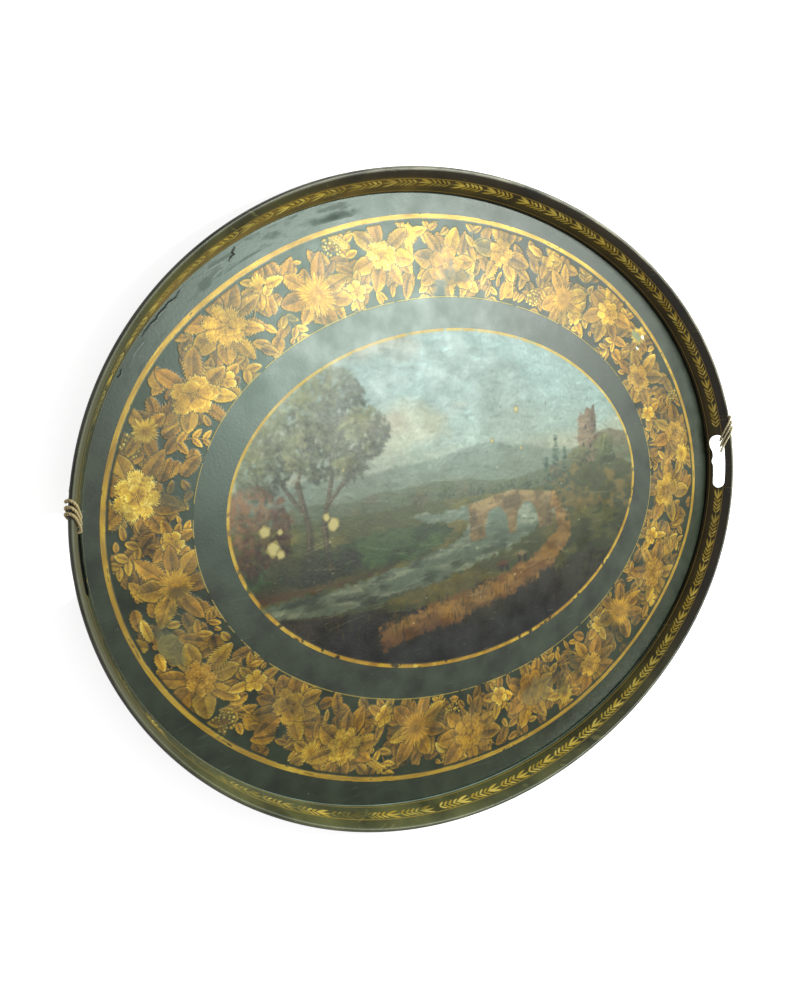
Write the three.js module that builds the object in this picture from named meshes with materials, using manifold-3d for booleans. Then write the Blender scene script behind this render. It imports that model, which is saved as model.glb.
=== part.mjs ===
// An oval painted tray of sheet iron, in millimetres, lying on its floor with +Z up and the long axis on X.
// One sheet is the floor. Two bent strips are the flared gallery, each with a hand-hold at one end of the tray.
// The floor's edge folds over the strips' foot flanges, and the strips' top edges curl round a wire.
// A length of twine is tied round both grips and lies along the foot of the gallery between them.
import * as THREE from 'three';
import Module from 'manifold-3d';

const wasm = await Module();
wasm.setup();

// Driving dimensions: the tray
const trayLength = 750;
const trayWidth = 572;
const trayHeight = 28;
const endFlare = 13.5;
const sideFlare = 16.5;
const sheet = 0.7;
const wireDiameter = 2.4;
const fit = 0.3;
const footSlope = THREE.MathUtils.degToRad(17);
const topSlope = THREE.MathUtils.degToRad(33);
const flangeWidth = 2.6;
const footBend = 0.9;
const curlSweep = THREE.MathUtils.degToRad(282);
const foldReturn = 1;

// Driving dimensions: the lap seams and the hand-holds
const lapAngle = THREE.MathUtils.degToRad(-101);
const lapLength = 10;
const slotLength = 59;
const slotHeight = 12.2;
const slotSill = 8.5;
const slotShift = -4;
const slotNotch = 2;
const slotShoulder = 7;
const slotLobe = 3;
const slotArch = 0.6;

// Driving dimensions: the twine
const twine = 2.5;
const twineGap = 0.8;
const rightTurns = 3;
const leftTurns = 3;
const hitchTurns = 2;
const endDip = 1.6;

// How finely the forms are cut into faces
const stripSteps = 50;
const ringSteps = 2 * stripSteps;
const curlSteps = 7;
const turnSteps = 24;
const turnSides = 6;

// Sizes that follow from those above
const floorLength = trayLength - 2 * endFlare;
const floorWidth = trayWidth - 2 * sideFlare;
const beadRadius = wireDiameter / 2 + fit + sheet;
const beadOut = (endFlare + sideFlare) / 2;
const beadCentre = new THREE.Vector2(beadOut - beadRadius, trayHeight - beadRadius);
const ovalStretch = (endFlare - sideFlare) / 2;
const twineRadius = twine / 2;

// The tray was bent and beaten by hand: how far its foot strays from a true oval, flattest at the left end.
function footStray(angle) {
  const egg = 2.2 * (Math.cos(3 * angle) - Math.cos(angle));
  const skew = -Math.sin(2 * angle);
  const flat = -4.5 * Math.max(0, -Math.cos(angle)) ** 8;
  return egg + skew + flat;
}

// How far its rim strays from the oval that lies evenly outside the floor's.
function rimStray(angle) {
  const ends = ovalStretch * Math.cos(2 * angle);
  const egg = 2.9 * (Math.cos(3 * angle) - Math.cos(angle));
  const skew = -1.8 * Math.sin(2 * angle);
  const sway = 0.9 * (Math.sin(3 * angle) + Math.sin(angle));
  return ends + egg + skew + sway;
}

// A point of a cross-section, out from the floor's oval and up from the table, carried round to an angle.
function onTray(angle, out, height) {
  const reach = out + THREE.MathUtils.lerp(footStray(angle), rimStray(angle), height / beadCentre.y);
  const x = (floorLength / 2 + reach) * Math.cos(angle);
  const y = (floorWidth / 2 + reach) * Math.sin(angle);
  return new THREE.Vector3(x, y, height);
}

// The same near one end of the tray (side is 1 at the right end, -1 at the left), at a distance along Y.
function atEnd(side, out, height, along) {
  const angle = Math.asin(along / (floorWidth / 2 + out));
  return onTray(side > 0 ? angle : Math.PI - angle, out, height);
}

function signedArea(outline) {
  return THREE.ShapeUtils.area(outline);
}

// Triangles that close a ring, turned the way the ring runs.
function capFaces(outline) {
  const along = Math.sign(signedArea(outline));
  return THREE.ShapeUtils.triangulateShape(outline, []).map(([a, b, c]) => {
    const turn = Math.sign(signedArea([outline[a], outline[b], outline[c]]));
    return turn === along ? [a, b, c] : [a, c, b];
  });
}

// A closed body through a row of rings. Its ends meet each other, or are closed by flat outlines.
function loft(rings, endOutlines = null) {
  const size = rings[0].length;
  const spans = endOutlines ? rings.length - 1 : rings.length;
  const faces = [];
  for (let i = 0; i < spans; i += 1) {
    const here = i * size;
    const next = ((i + 1) % rings.length) * size;
    for (let j = 0; j < size; j += 1) {
      const k = (j + 1) % size;
      faces.push([here + j, next + j, next + k], [here + j, next + k, here + k]);
    }
  }
  if (endOutlines) {
    const last = (rings.length - 1) * size;
    faces.push(...capFaces(endOutlines[0]));
    faces.push(...capFaces(endOutlines[1]).map(([a, b, c]) => [last + a, last + c, last + b]));
  }
  return facingOut(rings.flat(), faces);
}

function facingOut(points, faces) {
  let volume = 0;
  for (const [a, b, c] of faces) {
    volume += points[a].dot(new THREE.Vector3().crossVectors(points[b], points[c]));
  }
  const geometry = new THREE.BufferGeometry();
  geometry.setFromPoints(points);
  geometry.setIndex(faces.flatMap(([a, b, c]) => (volume > 0 ? [a, b, c] : [a, c, b])));
  geometry.computeVertexNormals();
  return geometry;
}

// A bent sheet's closed outline, from the line along the middle of its thickness.
function thicken(line, thickness) {
  const outer = [];
  const inner = [];
  line.forEach((point, i) => {
    const before = line[Math.max(i - 1, 0)];
    const after = line[Math.min(i + 1, line.length - 1)];
    const ahead = after.clone().sub(before).normalize();
    const across = new THREE.Vector2(ahead.y, -ahead.x).multiplyScalar(thickness / 2);
    outer.push(point.clone().add(across));
    inner.unshift(point.clone().sub(across));
  });
  return [...outer, ...inner];
}

function arcPoints(centre, radius, from, to, steps) {
  const points = [];
  for (let i = 0; i <= steps; i += 1) {
    const angle = THREE.MathUtils.lerp(from, to, i / steps);
    points.push(new THREE.Vector2(Math.cos(angle), Math.sin(angle)).multiplyScalar(radius).add(centre));
  }
  return points;
}

function circlePoints(radius, sides) {
  return arcPoints(new THREE.Vector2(), radius, 0, 2 * Math.PI, sides).slice(0, sides);
}

function solidOf(geometry) {
  const vertProperties = new Float32Array(geometry.getAttribute('position').array);
  const triVerts = new Uint32Array(geometry.getIndex().array);
  return new wasm.Manifold(new wasm.Mesh({ numProp: 3, vertProperties, triVerts }));
}

function geometryOf(solid) {
  const mesh = solid.getMesh();
  const geometry = new THREE.BufferGeometry();
  geometry.setAttribute('position', new THREE.BufferAttribute(new Float32Array(mesh.vertProperties), 3));
  geometry.setIndex(new THREE.BufferAttribute(new Uint32Array(mesh.triVerts), 1));
  geometry.computeVertexNormals();
  return geometry;
}

// The floor: a flat oval whose edge turns up round the foot flange and back over it.
function floorSheet() {
  const flangeMiddle = sheet + fit + sheet / 2;
  const foldInner = sheet / 2 + fit;
  const foldCentre = new THREE.Vector2(flangeWidth, flangeMiddle);
  const foldTop = flangeMiddle + foldInner;
  const section = [
    new THREE.Vector2(0, sheet),
    ...arcPoints(foldCentre, foldInner, -Math.PI / 2, Math.PI / 2, 4),
    new THREE.Vector2(flangeWidth - foldReturn, foldTop),
    new THREE.Vector2(flangeWidth - foldReturn, foldTop + sheet),
    ...arcPoints(foldCentre, foldInner + sheet, Math.PI / 2, -Math.PI / 2, 6),
    new THREE.Vector2(0, 0),
  ];
  const rings = section.map(({ x, y }) => {
    const ring = [];
    for (let i = 0; i < ringSteps; i += 1) {
      ring.push(onTray((2 * Math.PI * i) / ringSteps, x, y));
    }
    return ring;
  });
  const face = (ring) => ring.map((point) => new THREE.Vector2(point.x, point.y));
  return loft(rings, [face(rings[0]), face(rings[rings.length - 1])]);
}

// Headings along the middle of the gallery's sheet, as the angle from upright.
const heading = (slope) => new THREE.Vector2(Math.sin(slope), Math.cos(slope));
const rightOf = (direction) => new THREE.Vector2(direction.y, -direction.x);

function wallCurve() {
  const bendCentre = new THREE.Vector2(footBend + sheet / 2, sheet + fit + sheet / 2 + footBend);
  const foot = bendCentre.clone().addScaledVector(rightOf(heading(footSlope)), -footBend);
  const curlMiddle = beadRadius - sheet / 2;
  const top = beadCentre.clone().addScaledVector(rightOf(heading(topSlope)), -curlMiddle);
  const across = top.clone().sub(foot);
  const lift = across.cross(heading(topSlope)) / heading(footSlope).cross(heading(topSlope));
  const corner = foot.clone().addScaledVector(heading(footSlope), lift);
  return { bendCentre, curlMiddle, curve: new THREE.QuadraticBezierCurve(foot, corner, top) };
}

const wall = wallCurve();

// The middle of the gallery's sheet, from the flange's edge up the wall and round the wire.
function galleryLine() {
  const flangeEdge = new THREE.Vector2(flangeWidth, sheet + fit + sheet / 2);
  const bend = arcPoints(wall.bendCentre, footBend, -Math.PI / 2, -Math.PI - footSlope, 3);
  const rise = wall.curve.getPoints(4).slice(1, 4);
  const curl = arcPoints(beadCentre, wall.curlMiddle, Math.PI - topSlope,
    Math.PI - topSlope - curlSweep, curlSteps);
  return [flangeEdge, ...bend, ...rise, ...curl];
}

function sweep(outline, angles) {
  const rings = angles.map((angle) => outline.map(({ x, y }) => onTray(angle, x, y)));
  return loft(rings, [outline, outline]);
}

// The joggled tongue behind the next strip: it leaves the wall's thickness, steps out and runs past the end.
function lapTongue(endAngle) {
  const angleOf = (length) => length / (trayLength / 2);
  const line = wall.curve.getPoints(12).slice(1, 9);
  const behind = (sheet + 2 * fit) / Math.cos(topSlope);
  const steps = [
    { angle: endAngle - angleOf(2 * lapLength), out: 0 },
    { angle: endAngle - angleOf(lapLength), out: behind },
    { angle: endAngle, out: behind },
    { angle: endAngle + angleOf(lapLength), out: behind },
  ];
  const thickness = sheet - 0.02;
  const outline = thicken(line, thickness);
  const rings = steps.map(({ angle, out }) => outline.map(({ x, y }) => onTray(angle, x + out, y)));
  return loft(rings, [outline, outline]);
}

// The hand-hold at the right end, seen from the left: its floor side has a notch in the middle and a lobe at
// one end, its rim side is slightly arched.
function slotShape() {
  const end = slotHeight / 2;
  const half = slotLength / 2;
  const top = slotSill + slotHeight;
  const lobe = half - 1.5 * end;
  const ease = (lobe - slotShoulder) / 2;
  const shape = new THREE.Shape();
  shape.moveTo(0, slotSill - slotNotch);
  shape.quadraticCurveTo(slotShoulder / 2, slotSill, slotShoulder, slotSill);
  shape.bezierCurveTo(slotShoulder + ease, slotSill, lobe - ease, slotSill - slotLobe, lobe, slotSill - slotLobe);
  shape.quadraticCurveTo(half, slotSill - slotLobe, half, top - end);
  shape.quadraticCurveTo(half, top, half - end, top);
  shape.quadraticCurveTo(0, top + 2 * slotArch, end - half, top);
  shape.absarc(end - half, slotSill + end, end, Math.PI / 2, 1.5 * Math.PI, false);
  shape.lineTo(-slotShoulder, slotSill);
  shape.quadraticCurveTo(-slotShoulder / 2, slotSill, 0, slotSill - slotNotch);
  return shape;
}

function slotCutter(side) {
  const depth = 4 * beadOut;
  const cutter = new THREE.ExtrudeGeometry(slotShape(), { depth, curveSegments: 7, bevelEnabled: false });
  cutter.rotateX(Math.PI / 2);
  cutter.rotateZ(Math.PI / 2);
  cutter.translate(floorLength / 2 - depth / 2, slotShift, 0);
  cutter.rotateZ(side > 0 ? 0 : Math.PI);
  return cutter;
}

function mergedSolid(geometry) {
  const source = geometry.getAttribute('position');
  const points = [];
  const index = [];
  const seen = new Map();
  for (let i = 0; i < source.count; i += 1) {
    const point = new THREE.Vector3().fromBufferAttribute(source, i);
    const key = point.toArray().map((value) => value.toFixed(4)).join(' ');
    if (!seen.has(key)) {
      seen.set(key, points.length);
      points.push(point);
    }
    index.push(seen.get(key));
  }
  const faces = [];
  for (let i = 0; i < index.length; i += 3) {
    faces.push(index.slice(i, i + 3));
  }
  return solidOf(facingOut(points, faces));
}

// One gallery strip: half the way round, from one lap to the other, with its tongue and its hand-hold.
function galleryStrip(side) {
  const start = side > 0 ? lapAngle : lapAngle + Math.PI;
  const halfGap = (fit / 2 + 0.05) / (trayLength / 2);
  const angles = [];
  for (let i = 0; i <= stripSteps; i += 1) {
    angles.push(THREE.MathUtils.lerp(start + halfGap, start + Math.PI - halfGap, i / stripSteps));
  }
  const strip = solidOf(sweep(thicken(galleryLine(), sheet), angles));
  const tongue = solidOf(lapTongue(start + Math.PI));
  return geometryOf(strip.add(tongue).subtract(mergedSolid(slotCutter(side))));
}

// The wire ring inside the curl.
function rimWire() {
  const section = circlePoints(wireDiameter / 2, 8).map((point) => point.add(beadCentre));
  const rings = [];
  for (let i = 0; i < ringSteps; i += 1) {
    rings.push(section.map(({ x, y }) => onTray((2 * Math.PI * i) / ringSteps, x, y)));
  }
  return loft(rings);
}

// The middle of the wall's sheet at a height.
function wallAt(height) {
  let low = 0;
  let high = 1;
  while (high - low > 1e-4) {
    const middle = (low + high) / 2;
    if (wall.curve.getPoint(middle).y < height) {
      low = middle;
    } else {
      high = middle;
    }
  }
  return wall.curve.getPoint(low);
}

// The belt that twine follows round a grip: about the bead above, and below about the slot's rim side, which
// dips there because the slot's ends are rounded.
const gripLow = wallAt(slotSill + slotHeight - endDip);
const lowRadius = sheet / 2 + 1.5 * fit + twineRadius;
const highRadius = beadRadius + 1.5 * fit + twineRadius;
const gripUp = beadCentre.clone().sub(gripLow).normalize();

function beltPoint(turnAngle) {
  const normal = new THREE.Vector2(Math.cos(turnAngle), Math.sin(turnAngle));
  const low = gripLow.dot(normal) + lowRadius;
  const high = beadCentre.dot(normal) + highRadius;
  const point = low > high
    ? gripLow.clone().addScaledVector(normal, lowRadius)
    : beadCentre.clone().addScaledVector(normal, highRadius);
  return { point, climb: point.clone().sub(gripLow).dot(gripUp) };
}

const beltStart = THREE.MathUtils.degToRad(-12);

// Turns round a grip, side by side and slanting: places as out, height and distance along Y.
function gripTurns(first, slant, turns) {
  const pitch = (twine + twineGap) * Math.hypot(1, slant);
  const places = [];
  const count = Math.round(turns * turnSteps);
  for (let i = 0; i <= count; i += 1) {
    const { point, climb } = beltPoint(beltStart + (2 * Math.PI * i) / turnSteps);
    places.push([point.x, point.y, first + slant * climb - (pitch * i) / turnSteps]);
  }
  return places;
}

// The standing part hangs from the bead's outer side towards the table.
const standingTop = beltPoint(beltStart).point;
const standingFall = new THREE.Vector2(0.34, 0.94);

function standingPlace(height, along) {
  const drop = (standingTop.y - height) / standingFall.y;
  return [standingTop.x - drop * standingFall.x, height, along];
}

// Half hitches: the tail's turns round the standing part, going down.
function hitchPlaces(along, topHeight) {
  const radius = twine + twineGap + 0.2;
  const pitch = twine + twineGap + 0.1;
  const places = [];
  const count = hitchTurns * 12;
  for (let i = 0; i <= count; i += 1) {
    const angle = THREE.MathUtils.degToRad(-35) + (2 * Math.PI * i) / 12;
    const [out, height] = standingPlace(topHeight - (pitch * i) / 12, along);
    places.push([out + radius * Math.cos(angle), height, along + radius * Math.sin(angle)]);
  }
  return places;
}

function tubeAlong(curve, steps, radius, sides) {
  const section = new THREE.Shape(circlePoints(radius, sides));
  return new THREE.ExtrudeGeometry(section, { steps, extrudePath: curve, bevelEnabled: false });
}

// The least gap between parts of a tube that lie more than a few diameters apart along it.
function leastGap(curve) {
  const samples = curve.getSpacedPoints(Math.round(curve.getLength()));
  const apart = Math.round(3 * twine);
  let least = Infinity;
  for (let i = 0; i < samples.length; i += 1) {
    for (let j = i + apart; j < samples.length; j += 1) {
      least = Math.min(least, samples[i].distanceTo(samples[j]) - twine);
    }
  }
  return least;
}

function wound(name, side, places) {
  const curve = new THREE.CatmullRomCurve3(places.map(([out, height, along]) => atEnd(side, out, height, along)));
  const length = curve.getLength();
  console.log(`${name}: ${length.toFixed(0)} mm of twine, least gap to itself ${leastGap(curve).toFixed(2)} mm`);
  return tubeAlong(curve, Math.round(length / 1.9), twineRadius, turnSides);
}

// Right grip: three turns seen as three strands, then two half hitches round the standing part.
const rightFirst = 27;
const rightSlant = 1.6;

// Left grip: three strands side by side, the tail tucked in behind them.
const leftFirst = 33.5;
const leftSlant = 0.84;

// Where the standing parts end and the free stretch begins.
const standingFoot = 10;

function standingPart(along) {
  return [standingFoot, standingFoot + twine, 16, 21].map((height) => standingPlace(height, along));
}

function twineRight() {
  const turns = gripTurns(rightFirst, rightSlant, rightTurns - 0.17);
  const along = turns[0][2];
  const hitches = hitchPlaces(along, 19);
  const tail = [[14, 16.6, 15.6], [16.6, 17.7, 20], [17.6, 18.5, 32]];
  return wound('twine_right', 1, [...standingPart(along), ...turns, ...tail, ...hitches]);
}

function twineLeft() {
  const turns = gripTurns(leftFirst, leftSlant, leftTurns - 0.2);
  return wound('twine_left', -1, [...standingPart(turns[0][2]), ...turns]);
}

// The free stretch from a standing part down to the table: height, and how far it has turned along Y.
const landing = [[standingFoot - fit, 0], [7.6, 0.1], [4.3, 0.8], [2.3, 2.9], [1.45, 6.2]];

function landingPoints(side, first, slant) {
  const along = gripTurns(first, slant, 1)[0][2];
  return landing.map(([height, turned]) => {
    const [out] = standingPlace(height, along);
    return atEnd(side, out + turned / 6, height, along + turned);
  });
}

// Its places on the table, round the far side of the tray: degrees round, and how far out from the foot.
const tableHeight = 1.35;
const tablePlaces = [
  [12.8, 7.8], [16, 7.4], [19.8, 7.5], [27.5, 7.8], [35.2, 7.4], [43.4, 8.3], [51.5, 9.2],
  [59.2, 7.9], [67.2, 7.5], [75.2, 7.9], [83.2, 9], [91.2, 8.8], [99.2, 7.6], [107.2, 7.6],
  [115.2, 8], [123.2, 9.1], [131.2, 8.4], [139.2, 7.7], [147.2, 7.2], [155.2, 6.8], [161.8, 6.9], [166.5, 7],
];

// Its steps follow the places above, so that they are short in the bends and long between them.
class PlacedCurve extends THREE.CatmullRomCurve3 {
  getUtoTmapping(share) {
    return share;
  }
}

function twineFree() {
  const onTable = tablePlaces.map(([degrees, out]) => onTray(THREE.MathUtils.degToRad(degrees), out, tableHeight));
  const start = landingPoints(1, rightFirst, rightSlant);
  const end = landingPoints(-1, leftFirst, leftSlant).reverse();
  const curve = new PlacedCurve([...start, ...onTable, ...end]);
  console.log(`twine_free: ${curve.getLength().toFixed(0)} mm of twine`);
  return tubeAlong(curve, 80, twineRadius, 8);
}

// Finishes: dark green japanning, iron wire and hemp twine
const japanning = { color: 0x3e4638, roughness: 0.35, metalness: 0.1 };
const iron = { color: 0x6b6863, roughness: 0.5, metalness: 0.8 };
const hemp = { color: 0xb9aa83, roughness: 0.9, metalness: 0 };

const tray = new THREE.Group();

function add(name, geometry, finish) {
  const mesh = new THREE.Mesh(geometry, new THREE.MeshStandardMaterial(finish));
  mesh.name = name;
  tray.add(mesh);
}

add('floor_sheet', floorSheet(), japanning);
add('gallery_right', galleryStrip(1), japanning);
add('gallery_left', galleryStrip(-1), japanning);
add('rim_wire', rimWire(), iron);
add('twine_right', twineRight(), hemp);
add('twine_free', twineFree(), hemp);
add('twine_left', twineLeft(), hemp);

export default tray;
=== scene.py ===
# %% [markdown]
# # An oval painted tray of sheet iron
# The real tray is cut from thin sheet iron, japanned in dark green, gilded with a wide border of flowers
# and painted with a landscape in the middle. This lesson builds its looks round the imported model. The first
# cell loads that model, which stays where it is: every new piece is placed in the same frame, in metres.

# %% Load the frame
import math

import bmesh
import bpy
import numpy as np
from mathutils import Matrix, Vector


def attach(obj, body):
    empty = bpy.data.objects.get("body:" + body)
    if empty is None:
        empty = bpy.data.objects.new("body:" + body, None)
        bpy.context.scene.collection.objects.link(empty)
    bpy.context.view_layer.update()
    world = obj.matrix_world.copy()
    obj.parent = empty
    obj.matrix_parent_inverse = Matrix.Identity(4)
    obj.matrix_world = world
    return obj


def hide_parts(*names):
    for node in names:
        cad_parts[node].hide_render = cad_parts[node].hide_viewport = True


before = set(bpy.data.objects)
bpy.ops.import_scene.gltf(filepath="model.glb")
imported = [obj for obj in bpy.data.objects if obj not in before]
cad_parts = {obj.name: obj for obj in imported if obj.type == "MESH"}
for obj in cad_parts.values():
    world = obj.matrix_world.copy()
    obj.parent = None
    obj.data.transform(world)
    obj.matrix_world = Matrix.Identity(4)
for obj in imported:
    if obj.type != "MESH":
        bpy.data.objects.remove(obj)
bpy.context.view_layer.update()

print("frame loaded:", sorted(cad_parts))

# %% [markdown]
# ## Sizes
# A tinsmith works from a few sizes, and so does this lesson. They are the driving sizes of the packed
# model, in millimetres. MM turns them into Blender's metres at the very end, so the numbers stay easy to
# read.

# %% Sizes of the tray
MM = 0.001
TRAY_LENGTH = 750
TRAY_WIDTH = 572
TRAY_HEIGHT = 28
END_FLARE = 13.5
SIDE_FLARE = 16.5
SHEET = 0.7
WIRE = 2.4
FIT = 0.3
FOOT_SLOPE = math.radians(17)
TOP_SLOPE = math.radians(33)
FLANGE = 2.6
FOOT_BEND = 0.9
CURL_SWEEP = math.radians(282)
FOLD_RETURN = 1
LAP_ANGLE = math.radians(-101)
LAP_LENGTH = 10

FLOOR_LENGTH = TRAY_LENGTH - 2 * END_FLARE
FLOOR_WIDTH = TRAY_WIDTH - 2 * SIDE_FLARE
BEAD = WIRE / 2 + FIT + SHEET
BEAD_OUT = (END_FLARE + SIDE_FLARE) / 2
BEAD_CENTRE = np.array([BEAD_OUT - BEAD, TRAY_HEIGHT - BEAD])
OVAL_STRETCH = (END_FLARE - SIDE_FLARE) / 2

# %% [markdown]
# ## The tray's own oval
# The tray was bent and beaten by hand, so neither its foot nor its rim is a true oval. Two short functions
# say how far each strays, and on_tray carries a point of the cross-section round to an angle. Every later
# piece that follows the tray is placed by it: the floor, the gallery, the wire, the painted garland and the
# twine.

# %% The way round the tray
def foot_stray(angle):
    egg = 2.2 * (np.cos(3 * angle) - np.cos(angle))
    flat = -4.5 * np.maximum(0, -np.cos(angle)) ** 8
    return egg - np.sin(2 * angle) + flat


def rim_stray(angle):
    ends = OVAL_STRETCH * np.cos(2 * angle)
    egg = 2.9 * (np.cos(3 * angle) - np.cos(angle))
    sway = 0.9 * (np.sin(3 * angle) + np.sin(angle))
    return ends + egg - 1.8 * np.sin(2 * angle) + sway


def run_length(line):
    """How long a line through places is."""
    return float(np.linalg.norm(np.diff(line, axis=0), axis=1).sum())


def on_tray(angle, out, height):
    """Places in millimetres, one row each: out from the floor's oval, up from the table."""
    share = height / BEAD_CENTRE[1]
    reach = out + (1 - share) * foot_stray(angle) + share * rim_stray(angle)
    x = (FLOOR_LENGTH / 2 + reach) * np.cos(angle)
    y = (FLOOR_WIDTH / 2 + reach) * np.sin(angle)
    return np.stack(np.broadcast_arrays(x, y, height), axis=-1)


# %% [markdown]
# ## The camera
# The photograph looks down on the tray from its left end, with the long axis across the picture. The
# camera's place and turn were worked out from the outline of the rim and of the painted oval, and are
# written here as a position and two directions.

# %% The camera
forward = Vector((0.59756, -0.11031, -0.7942)).normalized()
upward = Vector((0.12273, 0.9914, -0.04536)).normalized()
rightward = forward.cross(upward)
turn = Matrix((rightward, upward, -forward)).transposed().to_4x4()
camera_data = bpy.data.cameras.new("camera")
camera_data.sensor_fit = "HORIZONTAL"
camera_data.sensor_width = 36
camera_data.lens = 44.796
camera = bpy.data.objects.new("camera", camera_data)
camera.matrix_world = Matrix.Translation((-0.59423, 0.10158, 0.68938)) @ turn
bpy.context.collection.objects.link(camera)
bpy.context.scene.camera = camera
bpy.context.scene.view_settings.view_transform = "Standard"
print("camera at", [round(value, 3) for value in camera.location])

# %% [markdown]
# ## Helpers for materials and objects
# A material is a tree of nodes. The helper add_node makes one node, sets its values and links its inputs in
# one call, so a finish reads from top to bottom. Colours are written as they look on screen, and tint turns
# such a code into the linear colour that the nodes work with. The other helpers are the few nodes that come
# again and again: a noise, a sum, a range, a mix of colours and a bump.

# %% Helpers for nodes and objects
def screen(code):
    """A colour code as three shares of 255, as it looks on screen."""
    return np.array([int(code[i : i + 2], 16) for i in (1, 3, 5)]) / 255


def to_linear(colour):
    colour = np.clip(colour, 0, 1)
    return np.where(colour <= 0.04045, colour / 12.92, ((colour + 0.055) / 1.055) ** 2.4)


def tint(code):
    return (*to_linear(screen(code)), 1)


def fill_inputs(tree, node, inputs):
    """Links each input that is given as a socket, and sets each that is given as a value or a colour code."""
    for name, value in inputs.items():
        socket = node.inputs[name]
        if isinstance(value, bpy.types.NodeSocket):
            tree.links.new(value, socket)
        else:
            socket.default_value = tint(value) if isinstance(value, str) else value


def add_node(tree, kind, inputs=None, **settings):
    made = tree.nodes.new(kind)
    for name, value in settings.items():
        setattr(made, name, value)
    fill_inputs(tree, made, inputs or {})
    return made


def new_material(name):
    material = bpy.data.materials.new(name)
    material.use_nodes = True
    tree = material.node_tree
    return material, tree, tree.nodes["Principled BSDF"]

# %% [markdown]
# ### Nodes that come again and again
# A finish is mostly noises, ranges and mixes. Each of these helpers places one such node and hands back its
# output, so the finishes below can be written as nested calls. The last one turns a finished bmesh into an
# object.

# %% Short ways to place a node
def object_place(tree):
    return add_node(tree, "ShaderNodeTexCoord").outputs["Object"]


def noise(tree, place, scale, detail, **others):
    inputs = {"Vector": place, "Scale": scale, "Detail": detail, **others}
    return add_node(tree, "ShaderNodeTexNoise", inputs).outputs["Fac"]


def calculated(tree, operation, first, second=0.0):
    return add_node(tree, "ShaderNodeMath", {0: first, 1: second}, operation=operation).outputs[0]


def ranged(tree, value, start, end, low=0.0, high=1.0):
    """The value carried from the range start to end onto low to high, and held there beyond it."""
    inputs = {"Value": value, "From Min": start, "From Max": end, "To Min": low, "To Max": high}
    return add_node(tree, "ShaderNodeMapRange", inputs).outputs[0]


def mixed(tree, factor, first, second):
    return add_node(tree, "ShaderNodeMix", {0: factor, 6: first, 7: second}, data_type="RGBA").outputs[2]


def bump(tree, height, distance, strength=1.0, **below):
    inputs = {"Height": height, "Strength": strength, "Distance": distance, **below}
    return add_node(tree, "ShaderNodeBump", inputs).outputs["Normal"]


def as_object(name, shape):
    """A bmesh shape as an object in the scene."""
    mesh = bpy.data.meshes.new(name)
    shape.to_mesh(mesh)
    shape.free()
    made = bpy.data.objects.new(name, mesh)
    bpy.context.collection.objects.link(made)
    return made


# %% [markdown]
# ## Floor, light and backdrop
# The tray lies on a plain white floor. A soft lamp stands beyond the tray, where the varnish mirrors it
# towards the camera as the broad pale glare above the picture. The world lights everything else evenly.
# Both are turned up only so far that a colour renders about as it is written. Seen by the camera and in
# reflections, the world is a white backdrop that greys towards the ceiling, so the dark varnish below still
# looks dark.

# %% The stage and the lights
def seen_ray(tree):
    """1 for a ray from the camera or from a reflection, 0 for the light that falls on things."""
    path = add_node(tree, "ShaderNodeLightPath").outputs
    return calculated(tree, "MAXIMUM", path["Is Camera Ray"], path["Is Glossy Ray"])


def white_floor():
    material, tree, shader = new_material("white_floor")
    fill_inputs(tree, shader, {
        "Base Color": (0.92, 0.92, 0.92, 1),
        "Roughness": 0.9,
        "Specular IOR Level": 0.0,
        "Emission Color": (1, 1, 1, 1),
        "Emission Strength": calculated(tree, "MULTIPLY", seen_ray(tree), 0.78),
    })
    return material


def white_world():
    world = bpy.data.worlds.new("white_world")
    world.use_nodes = True
    tree = world.node_tree
    direction = add_node(tree, "ShaderNodeTexCoord").outputs["Generated"]
    upward = add_node(tree, "ShaderNodeSeparateXYZ", {0: direction}).outputs["Z"]
    backdrop = ranged(tree, upward, 0.3, 0.7, 1.0, 0.3)
    strength = add_node(tree, "ShaderNodeMix", {0: seen_ray(tree), 2: 0.3, 3: backdrop})
    fill_inputs(tree, tree.nodes["Background"], {"Color": (1, 1, 1, 1), "Strength": strength.outputs[0]})
    return world


def soft_lamp(name, place, target, size, watts):
    lamp = bpy.data.lights.new(name, "AREA")
    lamp.shape = "DISK"
    lamp.size = size
    lamp.energy = watts
    lamp.color = (0.9, 1.0, 0.93)
    holder = bpy.data.objects.new(name, lamp)
    aim = (Vector(target) - Vector(place)).to_track_quat("-Z", "Y")
    holder.matrix_world = Matrix.Translation(place) @ aim.to_matrix().to_4x4()
    bpy.context.collection.objects.link(holder)
    return holder


shape = bmesh.new()
bmesh.ops.create_grid(shape, x_segments=1, y_segments=1, size=4)
stage_floor = as_object("stage_floor", shape)
stage_floor.data.materials.append(white_floor())
bpy.context.scene.world = white_world()
soft_lamp("glare_lamp", (1.05, 0.31, 1.52), (-0.08, 0.15, 0), 0.72, 35)
print("stage and lights are ready")

# %% [markdown]
# ## Bending flat grids
# Sheet metal, wire and paint layers all start as a flat grid, which is then bent into place, much as the
# tinsmith bends a flat strip. The helper makes the grid with bmesh, joins edges that meet, closes the ends
# and turns the faces outwards. Another way is to spin an outline, but the tray isn't round, so bending fits
# better.

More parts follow.
